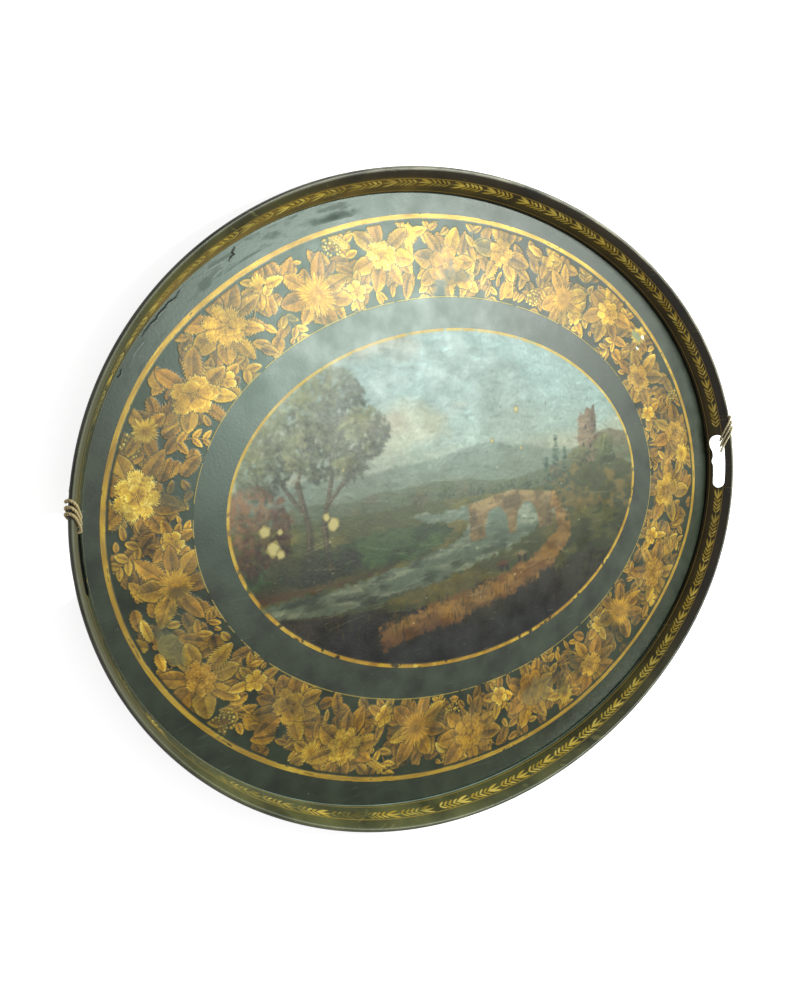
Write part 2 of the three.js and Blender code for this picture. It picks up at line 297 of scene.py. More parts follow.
# %% Grid helpers
def bent_grid(columns, rows, place, closed=False):
    """A grid bent by place(u, v), which gives millimetres for u and v between 0 and 1."""
    shape = bmesh.new()
    bmesh.ops.create_grid(shape, x_segments=columns, y_segments=rows, size=0.5)
    u = np.array([corner.co.x for corner in shape.verts]) + 0.5
    v = np.array([corner.co.y for corner in shape.verts]) + 0.5
    for corner, spot in zip(shape.verts, place(u, v) * MM):
        corner.co = spot
    if closed:
        bmesh.ops.remove_doubles(shape, verts=shape.verts, dist=1e-7)
        open_edges = [edge for edge in shape.edges if edge.is_boundary]
        bmesh.ops.holes_fill(shape, edges=open_edges, sides=0)
        bmesh.ops.recalc_face_normals(shape, faces=shape.faces)
    return shape


def smooth(mesh, sharp=35):
    """Smooth shading except at edges sharper than the angle, in degrees."""
    mesh.shade_smooth()
    mesh.set_sharp_from_angle(angle=math.radians(sharp))


def finish_piece(name, shape, materials, sharp=35):
    """The shape as a piece of the tray with its materials."""
    piece = as_object(name, shape)
    mesh = piece.data
    smooth(mesh, sharp)
    for material in materials:
        mesh.materials.append(material)
    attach(piece, "root")
    print(name, len(mesh.polygons), "faces")
    return piece


# %% [markdown]
# ## The twine's route
# One length of old hemp twine is tied round both grips. It passes through each hand-hold and over the rim,
# hangs down outside, and lies round the far side of the tray on the table. The routes repeat the packed
# model's, so the twine keeps clear of the metal. A smooth curve is drawn through the listed places.

# %% Sizes of the twine
TWINE = 2.5
TWINE_GAP = 0.8
TURN_STEPS = 24
SLOT_SILL = 8.5
SLOT_HEIGHT = 12.2
END_DIP = 1.6
STANDING_FOOT = 10
STANDING_FALL = (0.34, 0.94)
RIGHT_FIRST, RIGHT_SLANT, RIGHT_TURNS = 27, 1.6, 3 - 0.17
LEFT_FIRST, LEFT_SLANT, LEFT_TURNS = 33.5, 0.84, 3 - 0.2
BELT_START = math.radians(-12)
TABLE_HEIGHT = 1.35
TABLE_PLACES = [
    (12.8, 7.8), (16, 7.4), (19.8, 7.5), (27.5, 7.8), (35.2, 7.4), (43.4, 8.3), (51.5, 9.2),
    (59.2, 7.9), (67.2, 7.5), (75.2, 7.9), (83.2, 9), (91.2, 8.8), (99.2, 7.6), (107.2, 7.6),
    (115.2, 8), (123.2, 9.1), (131.2, 8.4), (139.2, 7.7), (147.2, 7.2), (155.2, 6.8), (161.8, 6.9),
    (166.5, 7),
]
LANDING = [(STANDING_FOOT - FIT, 0), (7.6, 0.1), (4.3, 0.8), (2.3, 2.9), (1.45, 6.2)]

# %% [markdown]
# ### The curve of the wall
# The gallery's wall rises from its foot to the bead in a slight curve. One quadratic curve describes it,
# with its corner where the slopes at the foot and at the top meet. The twine, the sheet metal and the
# painted garland all use it, so they can't drift apart.

# %% The curve of the wall
def upright_heading(slope):
    return np.array([math.sin(slope), math.cos(slope)])


def right_of(direction):
    return np.array([direction[1], -direction[0]])


def cross(a, b):
    return a[0] * b[1] - a[1] * b[0]


def wall_corners():
    """Foot, corner and top of the curve that the wall's middle follows, and the foot bend's centre."""
    bend_centre = np.array([FOOT_BEND + SHEET / 2, SHEET + FIT + SHEET / 2 + FOOT_BEND])
    foot = bend_centre - FOOT_BEND * right_of(upright_heading(FOOT_SLOPE))
    top = BEAD_CENTRE - (BEAD - SHEET / 2) * right_of(upright_heading(TOP_SLOPE))
    low, high = upright_heading(FOOT_SLOPE), upright_heading(TOP_SLOPE)
    corner = foot + low * cross(top - foot, high) / cross(low, high)
    return bend_centre, foot, corner, top


BEND_CENTRE, WALL_FOOT, WALL_CORNER, WALL_TOP = wall_corners()


def wall_point(share):
    share = np.asarray(share)[..., None]
    return (1 - share) ** 2 * WALL_FOOT + 2 * share * (1 - share) * WALL_CORNER + share**2 * WALL_TOP


def wall_share(height):
    """How far up the wall's curve a height is reached."""
    shares = np.linspace(0, 1, 400)
    return np.interp(height, wall_point(shares)[:, 1], shares)


def at_end(side, places):
    places = np.array(places, float)
    angle = np.arcsin(places[:, 2] / (FLOOR_WIDTH / 2 + places[:, 0]))
    return on_tray(angle if side > 0 else math.pi - angle, places[:, 0], places[:, 1])

# %% [markdown]
# ### Windings and hitches
# On each grip the twine runs like a belt over two rollers, the bead above and the upper edge of the
# hand-hold below, and each turn lies beside the last. At the right it ends in two half hitches round its
# own standing part. All of it is worked out from the same few sizes.

# %% Turns and half hitches
GRIP_LOW = wall_point(wall_share(SLOT_SILL + SLOT_HEIGHT - END_DIP))
GRIP_UP = (BEAD_CENTRE - GRIP_LOW) / np.linalg.norm(BEAD_CENTRE - GRIP_LOW)
LOW_RADIUS = SHEET / 2 + 1.5 * FIT + TWINE / 2
HIGH_RADIUS = BEAD + 1.5 * FIT + TWINE / 2


def belt_point(angle):
    normal = np.array([math.cos(angle), math.sin(angle)])
    low = GRIP_LOW + LOW_RADIUS * normal
    high = BEAD_CENTRE + HIGH_RADIUS * normal
    return low if low @ normal > high @ normal else high


def grip_turns(first, slant, turns):
    """Turns wound round the grip, side by side along it and slanting with their height."""
    pitch = (TWINE + TWINE_GAP) * math.hypot(1, slant)
    places = []
    for i in range(round(turns * TURN_STEPS) + 1):
        spot = belt_point(BELT_START + 2 * math.pi * i / TURN_STEPS)
        climb = (spot - GRIP_LOW) @ GRIP_UP
        places.append((*spot, first + slant * climb - pitch * i / TURN_STEPS))
    return places


def standing_place(height, along):
    """A place on the standing part, which leaves the winding and falls outwards."""
    top = belt_point(BELT_START)
    drop = (top[1] - height) / STANDING_FALL[1]
    return (top[0] - drop * STANDING_FALL[0], height, along)


def hitch_places(along, top_height, turns=2, steps=12):
    """Two half hitches round the standing part."""
    radius = TWINE + TWINE_GAP + 0.2
    pitch = TWINE + TWINE_GAP + 0.1
    places = []
    for i in range(turns * steps + 1):
        angle = math.radians(-35) + 2 * math.pi * i / steps
        out, height, _ = standing_place(top_height - pitch * i / steps, along)
        places.append((out + radius * math.cos(angle), height, along + radius * math.sin(angle)))
    return places


def standing_part(along):
    return [standing_place(height, along) for height in (STANDING_FOOT, STANDING_FOOT + TWINE, 16, 21)]


def landing_places(first, slant):
    along = grip_turns(first, slant, 1)[0][2]
    places = []
    for height, turned in LANDING:
        out, _, _ = standing_place(height, along)
        places.append((out + turned / 6, height, along + turned))
    return places

# %% [markdown]
# ### The three routes
# Three routes are joined from these places: one round each grip, and the free stretch, which lands on the
# table at both ends and follows the foot of the gallery in between.

# %% Join the routes
right_turns = grip_turns(RIGHT_FIRST, RIGHT_SLANT, RIGHT_TURNS)
right_along = right_turns[0][2]
right_tail = [(14, 16.6, 15.6), (16.6, 17.7, 20), (17.6, 18.5, 32)]
right_route = standing_part(right_along) + right_turns + right_tail + hitch_places(right_along, 19)
left_turns = grip_turns(LEFT_FIRST, LEFT_SLANT, LEFT_TURNS)
left_route = standing_part(left_turns[0][2]) + left_turns
table_angles = np.radians([degrees for degrees, _ in TABLE_PLACES])
table_outs = np.array([out for _, out in TABLE_PLACES])
table_run = on_tray(table_angles, table_outs, TABLE_HEIGHT)
free_route = np.concatenate([
    at_end(1, landing_places(RIGHT_FIRST, RIGHT_SLANT)),
    table_run,
    at_end(-1, landing_places(LEFT_FIRST, LEFT_SLANT))[::-1],
])
print("places on the routes:", len(right_route), len(left_route), len(free_route))

# %% [markdown]
# ## Laid twine
# Hemp twine is three yarns laid round each other. A tube with a bump would look smooth in close views, so
# each yarn is a thin tube of its own that winds round the middle line. The tube is a bent grid again: one
# way round the yarn, one way along it. The finish is a fine noise of fibres, soiled in patches.

# %% Lines and frames
def smooth_line(places, spacing):
    """Points about spacing apart on a centripetal Catmull-Rom curve through the places."""
    places = np.asarray(places, float)
    ends = [2 * places[0] - places[1], 2 * places[-1] - places[-2]]
    padded = np.concatenate([ends[:1], places, ends[1:]])
    fine = [places[0]]
    for p0, p1, p2, p3 in zip(padded, padded[1:], padded[2:], padded[3:]):
        d0, d1, d2 = (np.linalg.norm(b - a) ** 0.5 for a, b in ((p0, p1), (p1, p2), (p2, p3)))
        leave = ((p1 - p0) / d0 - (p2 - p0) / (d0 + d1) + (p2 - p1) / d1) * d1
        arrive = ((p2 - p1) / d1 - (p3 - p1) / (d1 + d2) + (p3 - p2) / d2) * d1
        share = np.linspace(0, 1, 17)[1:, None]
        bend = -3 * p1 + 3 * p2 - 2 * leave - arrive
        fine.extend(p1 + leave * share + bend * share**2 + (2 * p1 - 2 * p2 + leave + arrive) * share**3)
    fine = np.array(fine)
    along = np.concatenate([[0], np.cumsum(np.linalg.norm(np.diff(fine, axis=0), axis=1))])
    wanted = np.linspace(0, along[-1], round(along[-1] / spacing) + 1)
    return np.stack([np.interp(wanted, along, fine[:, k]) for k in range(3)], axis=1)


def frames_along(line):
    """At each point of a line: two directions square to it, carried along without twisting."""
    ahead = np.gradient(line, axis=0)
    ahead /= np.linalg.norm(ahead, axis=1)[:, None]
    side = np.cross(ahead[0], [0, 0, 1] if abs(ahead[0][2]) < 0.9 else [1, 0, 0])
    sides = []
    for direction in ahead:
        side = side - direction * (side @ direction)
        side = side / np.linalg.norm(side)
        sides.append(side)
    sides = np.array(sides)
    return sides, np.cross(ahead, sides)

# %% [markdown]
# ### Three yarns make a twine
# The yarns circle the middle line at one pace, a third of a turn apart. Each is bent from its own grid, and
# the three are joined in one mesh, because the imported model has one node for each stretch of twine.

# %% Lay three yarns
YARNS = 3
YARN_RADIUS = 0.3 * TWINE
YARN_ORBIT = 0.48 * TWINE - YARN_RADIUS
LAY_LENGTH = 7.5


def laid_twine(name, line, material, *nodes):
    """A piece of twine along a line, which replaces the nodes named."""
    sides, ups = frames_along(line)
    steps = len(line) - 1
    length = run_length(line)
    twine = bmesh.new()
    for yarn in range(YARNS):
        def place(u, v):
            i = np.rint(u * steps).astype(int)
            lay = 2 * math.pi * (yarn / YARNS + u * length / LAY_LENGTH)
            wind = lay + 2 * math.pi * v
            across = YARN_ORBIT * np.cos(lay) + YARN_RADIUS * np.cos(wind)
            above = YARN_ORBIT * np.sin(lay) + YARN_RADIUS * np.sin(wind)
            return line[i] + across[:, None] * sides[i] + above[:, None] * ups[i]

        one = bent_grid(steps, 6, place, closed=True)
        mesh = bpy.data.meshes.new("yarn")
        one.to_mesh(mesh)
        one.free()
        twine.from_mesh(mesh)
        bpy.data.meshes.remove(mesh)
    piece = finish_piece(name, twine, [material], sharp=180)
    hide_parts(*nodes)
    return piece

# %% [markdown]
# ### Hemp and the three stretches
# The hemp is pale and fibrous and soiled in patches. It comes in two copies: a very pale one for the right
# grip and the free stretch, made paler as painted light for the bright light on the right end, and a darker
# one for the left grip.

# %% Make the twine
def hemp(name, pale, soil):
    material, tree, shader = new_material(name)
    place = object_place(tree)
    fibres = noise(tree, place, 900, 3)
    ramp = add_node(tree, "ShaderNodeValToRGB", {"Fac": fibres})
    for stop, position, code in zip(ramp.color_ramp.elements, (0.3, 0.68), ("#b8a377", pale)):
        stop.position = position
        stop.color = tint(code)
    fill_inputs(tree, shader, {
        "Base Color": mixed(tree, noise(tree, place, 60, 2), ramp.outputs["Color"], soil),
        "Normal": bump(tree, fibres, 0.0003, 0.6),
        "Roughness": 0.9,
    })
    return material


# Painted light: the hemp of the right grip and the free stretch is made paler than the left grip's, for the
# brighter light on the right end.
hemp_finish = hemp("old_hemp_twine", "#fff6de", "#eadcb2")
darker_hemp = hemp("soiled_hemp_twine", "#efdcb0", "#c0a878")
free_line = smooth_line(free_route, 0.8)
twine_free = laid_twine("twine_round_far_side", free_line, hemp_finish, "twine_free")
right_line = smooth_line(at_end(1, right_route), 0.7)
laid_twine("twine_on_right_grip", right_line, hemp_finish, "twine_right")
left_line = smooth_line(at_end(-1, left_route), 0.7)
laid_twine("twine_on_left_grip", left_line, darker_hemp, "twine_left")
print("free twine is", round(run_length(free_line) * MM, 4), "m long")

# %% [markdown]
# ## Finishes that several pieces share
# Age shows in the same ways all over the tray: cloudy bloom in the varnish, fine scratches, flecks where
# paint is gone, and dents that bend the reflections. Each is worked out once, in a node group with named
# inputs and outputs, and every material places the group with values of its own. The group only puts out
# masks and heights.

# %% The shared wear group
def make_wear_group():
    group = bpy.data.node_groups.new("old_varnish_wear", "ShaderNodeTree")
    for name, value in (("Scratches", 0.5), ("Flecks", 0.5), ("Lump Size", 40.0)):
        socket = group.interface.new_socket(name, in_out="INPUT", socket_type="NodeSocketFloat")
        socket.default_value = value
    for name in ("Bloom", "Scratch Mask", "Fleck Mask", "Grain", "Height"):
        group.interface.new_socket(name, in_out="OUTPUT", socket_type="NodeSocketFloat")
    given = add_node(group, "NodeGroupInput").outputs
    place = object_place(group)
    scratches = []
    for turned, scale in ((0.5, 26), (1.9, 34)):
        turns = {"Vector": place, "Rotation": (0, 0, turned), "Scale": (1, 9, 1)}
        stretched = add_node(group, "ShaderNodeMapping", turns).outputs[0]
        scratches.append(ranged(group, noise(group, stretched, scale, 2, Distortion=0.4), 0.69, 0.73))
    spots = ranged(group, noise(group, place, 190, 4, Roughness=0.7), 0.69, 0.73)
    both = calculated(group, "MAXIMUM", *scratches)
    add_node(group, "NodeGroupOutput", {
        "Bloom": ranged(group, noise(group, place, given["Lump Size"], 5), 0.32, 0.7),
        "Scratch Mask": calculated(group, "MULTIPLY", both, given["Scratches"]),
        "Fleck Mask": calculated(group, "MULTIPLY", spots, given["Flecks"]),
        "Grain": noise(group, place, 420, 3),
        "Height": noise(group, place, 11, 1),
    })
    return group


wear_group = make_wear_group()


def place_wear(tree, scratches=0.12, flecks=0.35, lump_size=40.0):
    values = {"Scratches": scratches, "Flecks": flecks, "Lump Size": lump_size}
    return add_node(tree, "ShaderNodeGroup", values, node_tree=wear_group).outputs


def dent_bump(tree, wear, grain_height=0.00005, dent_height=0.0008):
    """Long soft dents with the paint's fine grain on top."""
    return bump(tree, wear["Grain"], grain_height, Normal=bump(tree, wear["Height"], dent_height))

# %% [markdown]
# ### The japanned ground
# The floor's ground is dark green japan under varnish that has gone cloudy. The wear group gives the masks,
# and a few colour mixes put clouds, scratches and flecks over one another, as they lie on the real tray. At
# the far left a painted teal reflection is mixed in as well.

# %% The green finish
def ground_colour(tree, wear, dark="#1b2313", pale="#2d3721", scratch="#6f7a66", fleck="#a3a283", teal_sheen=0.0):
    """The japanned ground: cloudy dark varnish with scratches and flecks, and a painted teal reflection that
    pales it round a spot at the far left.
    """
    colour = mixed(tree, wear["Bloom"], dark, pale)
    # Painted reflection: near a spot at the far left the ground is mixed towards pale teal, standing for the
    # room reflected in the varnish.
    if teal_sheen:
        from_sheen_spot = {0: object_place(tree), 1: (-0.12, 0.14, 0)}
        apart = add_node(tree, "ShaderNodeVectorMath", from_sheen_spot, operation="DISTANCE").outputs["Value"]
        colour = mixed(tree, ranged(tree, apart, 0.23, 0.08, 0, teal_sheen), colour, "#4c7460")
    colour = mixed(tree, wear["Scratch Mask"], colour, scratch)
    return mixed(tree, wear["Fleck Mask"], colour, fleck)


def japanned_green():
    material, tree, shader = new_material("japanned_green")
    wear = place_wear(tree)
    fill_inputs(tree, shader, {
        # The painted teal reflection at the far left is mixed into this ground.
        "Base Color": ground_colour(tree, wear, teal_sheen=0.5),
        "Roughness": ranged(tree, wear["Bloom"], 0, 1, 0.35, 0.44),
        "Normal": dent_bump(tree, wear),
        "Specular IOR Level": 0.64,
    })
    return material

# %% [markdown]
# ### Bare metal and a painted glint along the rim
# Hands have rubbed the rim to grey metal, and the same grey is also a painted highlight on the crest,
# strongest at the far right. Masks by height and by side say where, and a noise breaks them up. The plain
# black finish of the outside and the underside gets its crest in this way.

# %% The black finish
def height_of(tree):
    return add_node(tree, "ShaderNodeSeparateXYZ", {0: object_place(tree)}).outputs["Z"]


def towards(tree, direction, start, end, low=0.0):
    """A mask that rises from low to 1 towards one side, from start to end metres off the tray's middle."""
    inputs = {0: object_place(tree), 1: direction}
    along = add_node(tree, "ShaderNodeVectorMath", inputs, operation="DOT_PRODUCT").outputs["Value"]
    return ranged(tree, along, start, end, low)


def band_mask(tree, level, half):
    """1 where the height is within half of the level."""
    apart = calculated(tree, "ABSOLUTE", calculated(tree, "SUBTRACT", height_of(tree), level))
    return ranged(tree, apart, half * 1.3, half * 0.7)


def faded(tree, mask, thinning, low, high):
    """A mask that a noise thins out between two strengths."""
    return calculated(tree, "MULTIPLY", mask, ranged(tree, thinning, 0, 1, low, high))


def worn_crest_and_glint(tree, wear, colour):
    """Grey along the top of the rim: metal rubbed bare, and a painted highlight that is strongest at the far
    right.
    """
    crest = faded(tree, band_mask(tree, TRAY_HEIGHT * MM, 0.0006), wear["Bloom"], 0.1, 0.9)
    # Painted highlight: the grey crest is strongest on the far-right side, where the glint falls.
    glint_side = towards(tree, (0.55, 0.8, 0), 0.08, 0.2, low=0.12)
    return mixed(tree, calculated(tree, "MULTIPLY", crest, glint_side), colour, "#b3ab97")


def japanned_black():
    material, tree, shader = new_material("japanned_black")
    wear = place_wear(tree, scratches=0.35, flecks=0.6, lump_size=25.0)
    colour = ground_colour(tree, wear, "#1b1a17", "#3a372f", "#77715f", "#8f8a78")
    fill_inputs(tree, shader, {
        "Base Color": worn_crest_and_glint(tree, wear, colour),
        "Roughness": 0.42,
        "Normal": dent_bump(tree, wear, grain_height=0.00008),
        "Specular IOR Level": 0.35,
    })
    return material


green_finish = japanned_green()
black_finish = japanned_black()
print("shared finishes:", green_finish.name, black_finish.name)

# %% [markdown]
# ## The floor sheet
# The floor is one flat oval of sheet iron whose edge turns up and back over the gallery's foot. Its section
# is a short line from the floor's top, round the fold, to its underside. The grid bends that line round the
# tray, and the two holes left in the middle, above and below, are closed by flat faces.

# %% Build the floor sheet
def arc(centre, radius, start, end, steps):
    angles = np.linspace(start, end, steps + 1)
    return np.asarray(centre) + radius * np.stack([np.cos(angles), np.sin(angles)], axis=1)


def floor_section():
    middle = SHEET + FIT + SHEET / 2
    inner = SHEET / 2 + FIT
    half = math.pi / 2
    return np.concatenate([
        [(0, SHEET)],
        arc((FLANGE, middle), inner, -half, half, 8),
        [(FLANGE - FOLD_RETURN, middle + inner), (FLANGE - FOLD_RETURN, middle + inner + SHEET)],
        arc((FLANGE, middle), inner + SHEET, half, -half, 10),
        [(0, 0)],
    ])


def swept(section, start, end):
    """A rule that bends a grid: u runs round the tray from start to end, v along the section."""
    rows = len(section) - 1

    def place(u, v):
        spot = section[np.rint(v * rows).astype(int)]
        return on_tray(start + (end - start) * u, spot[:, 0], spot[:, 1])

    return rows, place


ROUND_STEPS = 400
UPWARD = 0.3
rows, place = swept(floor_section(), 0, 2 * math.pi)
shape = bent_grid(ROUND_STEPS, rows, place, closed=True)
floor = finish_piece("floor_of_the_tray", shape, [green_finish, black_finish])
for face in floor.data.polygons:
    face.material_index = 1 if face.normal.z < UPWARD else 0
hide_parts("floor_sheet")

# %% [markdown]
# ## The gallery and its wire
# Two strips make the raised gallery. Each is bent at the foot into a narrow flange, leans outwards, and
# curls round a wire at the top. A strip's section is a closed outline, so the bent grid is a closed body.
# The hand-hold is cut through it with a Boolean, as the smith punched it. A tongue at one end laps behind
# the next strip.

# %% The strip's section
def thickened(line, thickness):
    """A closed outline round a bent line, half the thickness to each side."""
    ahead = np.gradient(line, axis=0)
    ahead /= np.linalg.norm(ahead, axis=1)[:, None]
    across = np.stack([ahead[:, 1], -ahead[:, 0]], axis=1) * thickness / 2
    outline = np.concatenate([line + across, (line - across)[::-1]])
    return np.concatenate([outline, outline[:1]])


def gallery_line():
    bend = arc(BEND_CENTRE, FOOT_BEND, -math.pi / 2, -math.pi - FOOT_SLOPE, 6)
    rise = wall_point(np.linspace(0, 1, 13)[1:-1])
    curl = arc(BEAD_CENTRE, BEAD - SHEET / 2, math.pi - TOP_SLOPE, math.pi - TOP_SLOPE - CURL_SWEEP, 20)
    return np.concatenate([[(FLANGE, SHEET + FIT + SHEET / 2)], bend, rise, curl])

# %% [markdown]
# ### The hand-hold
# The hand-hold was punched: straight towards the rim, with a notch and a lobe on the floor's side. Its
# outline is drawn from short curves, made into a prism and taken away by a Boolean, which cuts as cleanly
# as the punch.

# %% Cut the hand-hold
def bezier(start, first, second, end, steps=7):
    share = np.linspace(0, 1, steps + 1)[1:, None]
    points = [np.array(point, float) for point in (start, first, second, end)]
    weights = [(1 - share) ** 3, 3 * share * (1 - share) ** 2, 3 * share**2 * (1 - share), share**3]
    return sum(weight * point for weight, point in zip(weights, points))


SLOT_LENGTH = 59
SLOT_SHIFT = -4
SLOT_NOTCH = 2
SLOT_SHOULDER = 7
SLOT_LOBE = 3
SLOT_ARCH = 0.6


def slot_outline():
    """The hand-hold: a notch and a lobe on its floor side, a slight arch on its rim side."""
    end, half, sill, top = SLOT_HEIGHT / 2, SLOT_LENGTH / 2, SLOT_SILL, SLOT_SILL + SLOT_HEIGHT
    low, lobe, third = sill - SLOT_LOBE, half - 1.5 * end, SLOT_SHOULDER / 3
    ease = (lobe - SLOT_SHOULDER) / 2
    arch, notch = top + SLOT_ARCH, (0, sill - SLOT_NOTCH)
    return np.concatenate([
        bezier(notch, (third, sill - 0.6), (2 * third, sill), (SLOT_SHOULDER, sill)),
        bezier((SLOT_SHOULDER, sill), (SLOT_SHOULDER + ease, sill), (lobe - ease, low), (lobe, low)),
        bezier((lobe, low), (half - end / 2, low), (half, top - 1.6 * end), (half, top - end)),
        bezier((half, top - end), (half, top - end / 3), (half - end / 3, top), (half - end, top)),
        bezier((half - end, top), (end, arch), (-end, arch), (end - half, top), 12),
        arc((end - half, sill + end), end, math.pi / 2, 1.5 * math.pi, 12)[1:],
        bezier((-SLOT_SHOULDER, sill), (-2 * third, sill), (-third, sill - 0.6), notch),
    ])


def cut_slot(piece, side):
    """Cuts the hand-hold with a prism that runs through the wall along X."""
    cutter = bmesh.new()
    outline = slot_outline()[:-1]
    corners = [cutter.verts.new((0, side * (y + SLOT_SHIFT) * MM, z * MM)) for y, z in outline]
    face = cutter.faces.new(corners)
    reach = side * 0.06
    bmesh.ops.translate(cutter, verts=corners, vec=(side * FLOOR_LENGTH / 2 * MM - reach / 2, 0, 0))
    grown = bmesh.ops.extrude_face_region(cutter, geom=[face], use_keep_orig=True)
    moved = [item for item in grown["geom"] if isinstance(item, bmesh.types.BMVert)]
    bmesh.ops.translate(cutter, verts=moved, vec=(reach, 0, 0))
    bmesh.ops.recalc_face_normals(cutter, faces=cutter.faces)
    apply_boolean(piece, as_object("slot_cutter", cutter), "DIFFERENCE")


def apply_boolean(piece, tool, operation):
    modifier = piece.modifiers.new("boolean", "BOOLEAN")
    modifier.object = tool
    modifier.operation = operation
    modifier.solver = "EXACT"
    graph = bpy.context.evaluated_depsgraph_get()
    result = bpy.data.meshes.new_from_object(piece.evaluated_get(graph), depsgraph=graph)
    piece.modifiers.clear()
    old = piece.data
    piece.data = result
    bpy.data.meshes.remove(old)
    bpy.data.objects.remove(tool)

# %% [markdown]
# ### Tongue and strip
# Each strip goes half-way round. A tongue at its end, stepped out by the sheet's thickness, lies behind the
# next strip. It is joined on by a Boolean too, because a step in the bent grid would need a seam there.

# %% Make a strip
STRIP_STEPS = 210
HALF_GAP = 0.04 / (TRAY_LENGTH / 2)


def tongue_of(lap):
    """The tongue behind the next strip, as a tool that is joined on by a Boolean."""
    outline = thickened(wall_point(np.linspace(0, 1, 13)[1:10]), SHEET - 0.02)
    rows = len(outline) - 1
    behind = (SHEET + 2 * FIT) / math.cos(TOP_SLOPE)
    lap_angle = LAP_LENGTH / (TRAY_LENGTH / 2)

    def place(u, v):
        spot = outline[np.rint(v * rows).astype(int)]
        step = np.interp(u, (0, 1 / 3, 1), (0, behind, behind))
        return on_tray(lap + (3 * u - 2) * lap_angle, spot[:, 0] + step, spot[:, 1])

    return as_object("tongue", bent_grid(9, rows, place, closed=True))


def is_inside(face):
    """Whether a face of a gallery strip takes the decorated finish of the inside."""
    outward = face.normal.xy.dot(face.center.xy.normalized())
    on_bead = face.center.z > (TRAY_HEIGHT - 2 * BEAD) * MM
    ledge = face.normal.z > 0.7 and not on_bead
    return ledge or outward < (0.35 if on_bead and face.normal.z > 0 else -0.15)


def gallery_strip(name, side, node, inner_finish):
    start = LAP_ANGLE if side > 0 else LAP_ANGLE + math.pi
    rows, place = swept(thickened(gallery_line(), SHEET), start + HALF_GAP, start + math.pi - HALF_GAP)
    shape = bent_grid(STRIP_STEPS, rows, place, closed=True)
    strip = finish_piece(name, shape, [black_finish, inner_finish])
    apply_boolean(strip, tongue_of(start + math.pi), "UNION")
    cut_slot(strip, side)
    for face in strip.data.polygons:
        face.material_index = 1 if is_inside(face) else 0
    smooth(strip.data)
    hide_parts(node)

# %% [markdown]
# ### The gallery's own ground
# The gallery is brown-black where the floor is green. At the near left it is painted lighter, in olive, as
# painted light on the wall there, and at the very left end greyer, as a painted sheen; at the far left gold
# is smeared over it, and two thin gold lines run round it. A pale painted highlight lies along the crease at
# its foot on the near left. Masks by height and side place all of this, so it needs no painted skin.

# %% Finish the gallery
def wall_ground(tree, wear):
    """The gallery's ground: brown-black, painted lighter olive at the near left as painted light, greyer at
    the left end as a painted sheen, with two thin gold lines and a painted highlight on the crease.
    """
    # Painted light: the near left of the wall is painted olive, lighter than the brown-black elsewhere, for
    # the light that falls on it.
    lit_near_left = towards(tree, (-0.75, -0.66, 0), -0.12, 0.2)
    far_left = towards(tree, (-0.7, 0.7, 0), 0.16, 0.27)
    left_end = towards(tree, (-1, 0, 0), 0.3, 0.345)
    dark = ground_colour(tree, wear, "#1c170d", "#352c16", "#8d8452", "#8f8755")
    lit_olive = ground_colour(tree, wear, "#363a20", "#67683c", "#9a9565", "#a8a477")
    glow = faded(tree, band_mask(tree, 0.0124, 0.0055), wear["Bloom"], 0.3, 0.8)
    colour = mixed(tree, lit_near_left, mixed(tree, glow, dark, "#57491a"), lit_olive)
    smeared = faded(tree, band_mask(tree, 0.0115, 0.0085), wear["Bloom"], 0.15, 0.9)
    colour = mixed(tree, calculated(tree, "MULTIPLY", smeared, far_left), colour, "#8c6c2a")
    # Painted sheen: at the very left end the wall is painted grey-green, for the sheen of the wall seen
    # edge-on.
    colour = mixed(tree, left_end, colour, "#5b5a45")
    low = calculated(tree, "MULTIPLY", left_end, ranged(tree, height_of(tree), 0.024, 0.021))
    colour = mixed(tree, low, colour, ground_colour(tree, wear))
    for level in (0.0052, 0.0196):
        line = faded(tree, band_mask(tree, level, 0.0004), wear["Grain"], 0.3, 0.9)
        colour = mixed(tree, line, colour, "#b8973f")
    # Painted highlight: a pale blue-green line along the crease at the wall's foot on the near left.
    crease_highlight = faded(tree, band_mask(tree, 0.0024, 0.0012), wear["Bloom"], 0.5, 1.0)
    colour = mixed(tree, calculated(tree, "MULTIPLY", crease_highlight, lit_near_left), colour, "#9db2a6")
    return worn_crest_and_glint(tree, wear, colour)


def painted(tree):
    """The colour and the cover that a canvas gave to each point of a skin."""
    paint = add_node(tree, "ShaderNodeAttribute", attribute_name="paint").outputs
    return paint["Color"], paint["Alpha"]


GOLD_METAL = 0.25


def painted_wall(name, gilded=False):
    """The inside of the gallery; the garland's skins have the same ground with gold on it."""
    material, tree, shader = new_material(name)
    wear = place_wear(tree, scratches=0.3, flecks=0.5, lump_size=30.0)
    colour = wall_ground(tree, wear)
    if gilded:
        gold_colour, cover = painted(tree)
        colour = mixed(tree, cover, colour, gold_colour)
        fill_inputs(tree, shader, {"Metallic": calculated(tree, "MULTIPLY", cover, GOLD_METAL)})
    fill_inputs(tree, shader, {
        "Base Color": colour,
        "Roughness": 0.38,
        "Normal": dent_bump(tree, wear),
        "Specular IOR Level": 0.35,
    })
    return material


wall_finish = painted_wall("painted_wall")
gallery_strip("gallery_round_right_end", 1, "gallery_right", wall_finish)
gallery_strip("gallery_round_left_end", -1, "gallery_left", wall_finish)

# %% [markdown]
# ## The rim wire
# The wire is a plain ring of iron that the curl grips. It shows only through the curl's narrow slit.

# %% Build the rim wire
def bare_iron():
    material, tree, shader = new_material("bare_iron_wire")
    wear = place_wear(tree, scratches=0.2, flecks=0.9, lump_size=80.0)
    fill_inputs(tree, shader, {
        "Base Color": mixed(tree, wear["Bloom"], "#5d5a55", "#6b4a30"),
        "Metallic": 0.8,
        "Roughness": 0.5,
        "Normal": dent_bump(tree, wear, dent_height=0.0002),
    })
    return material


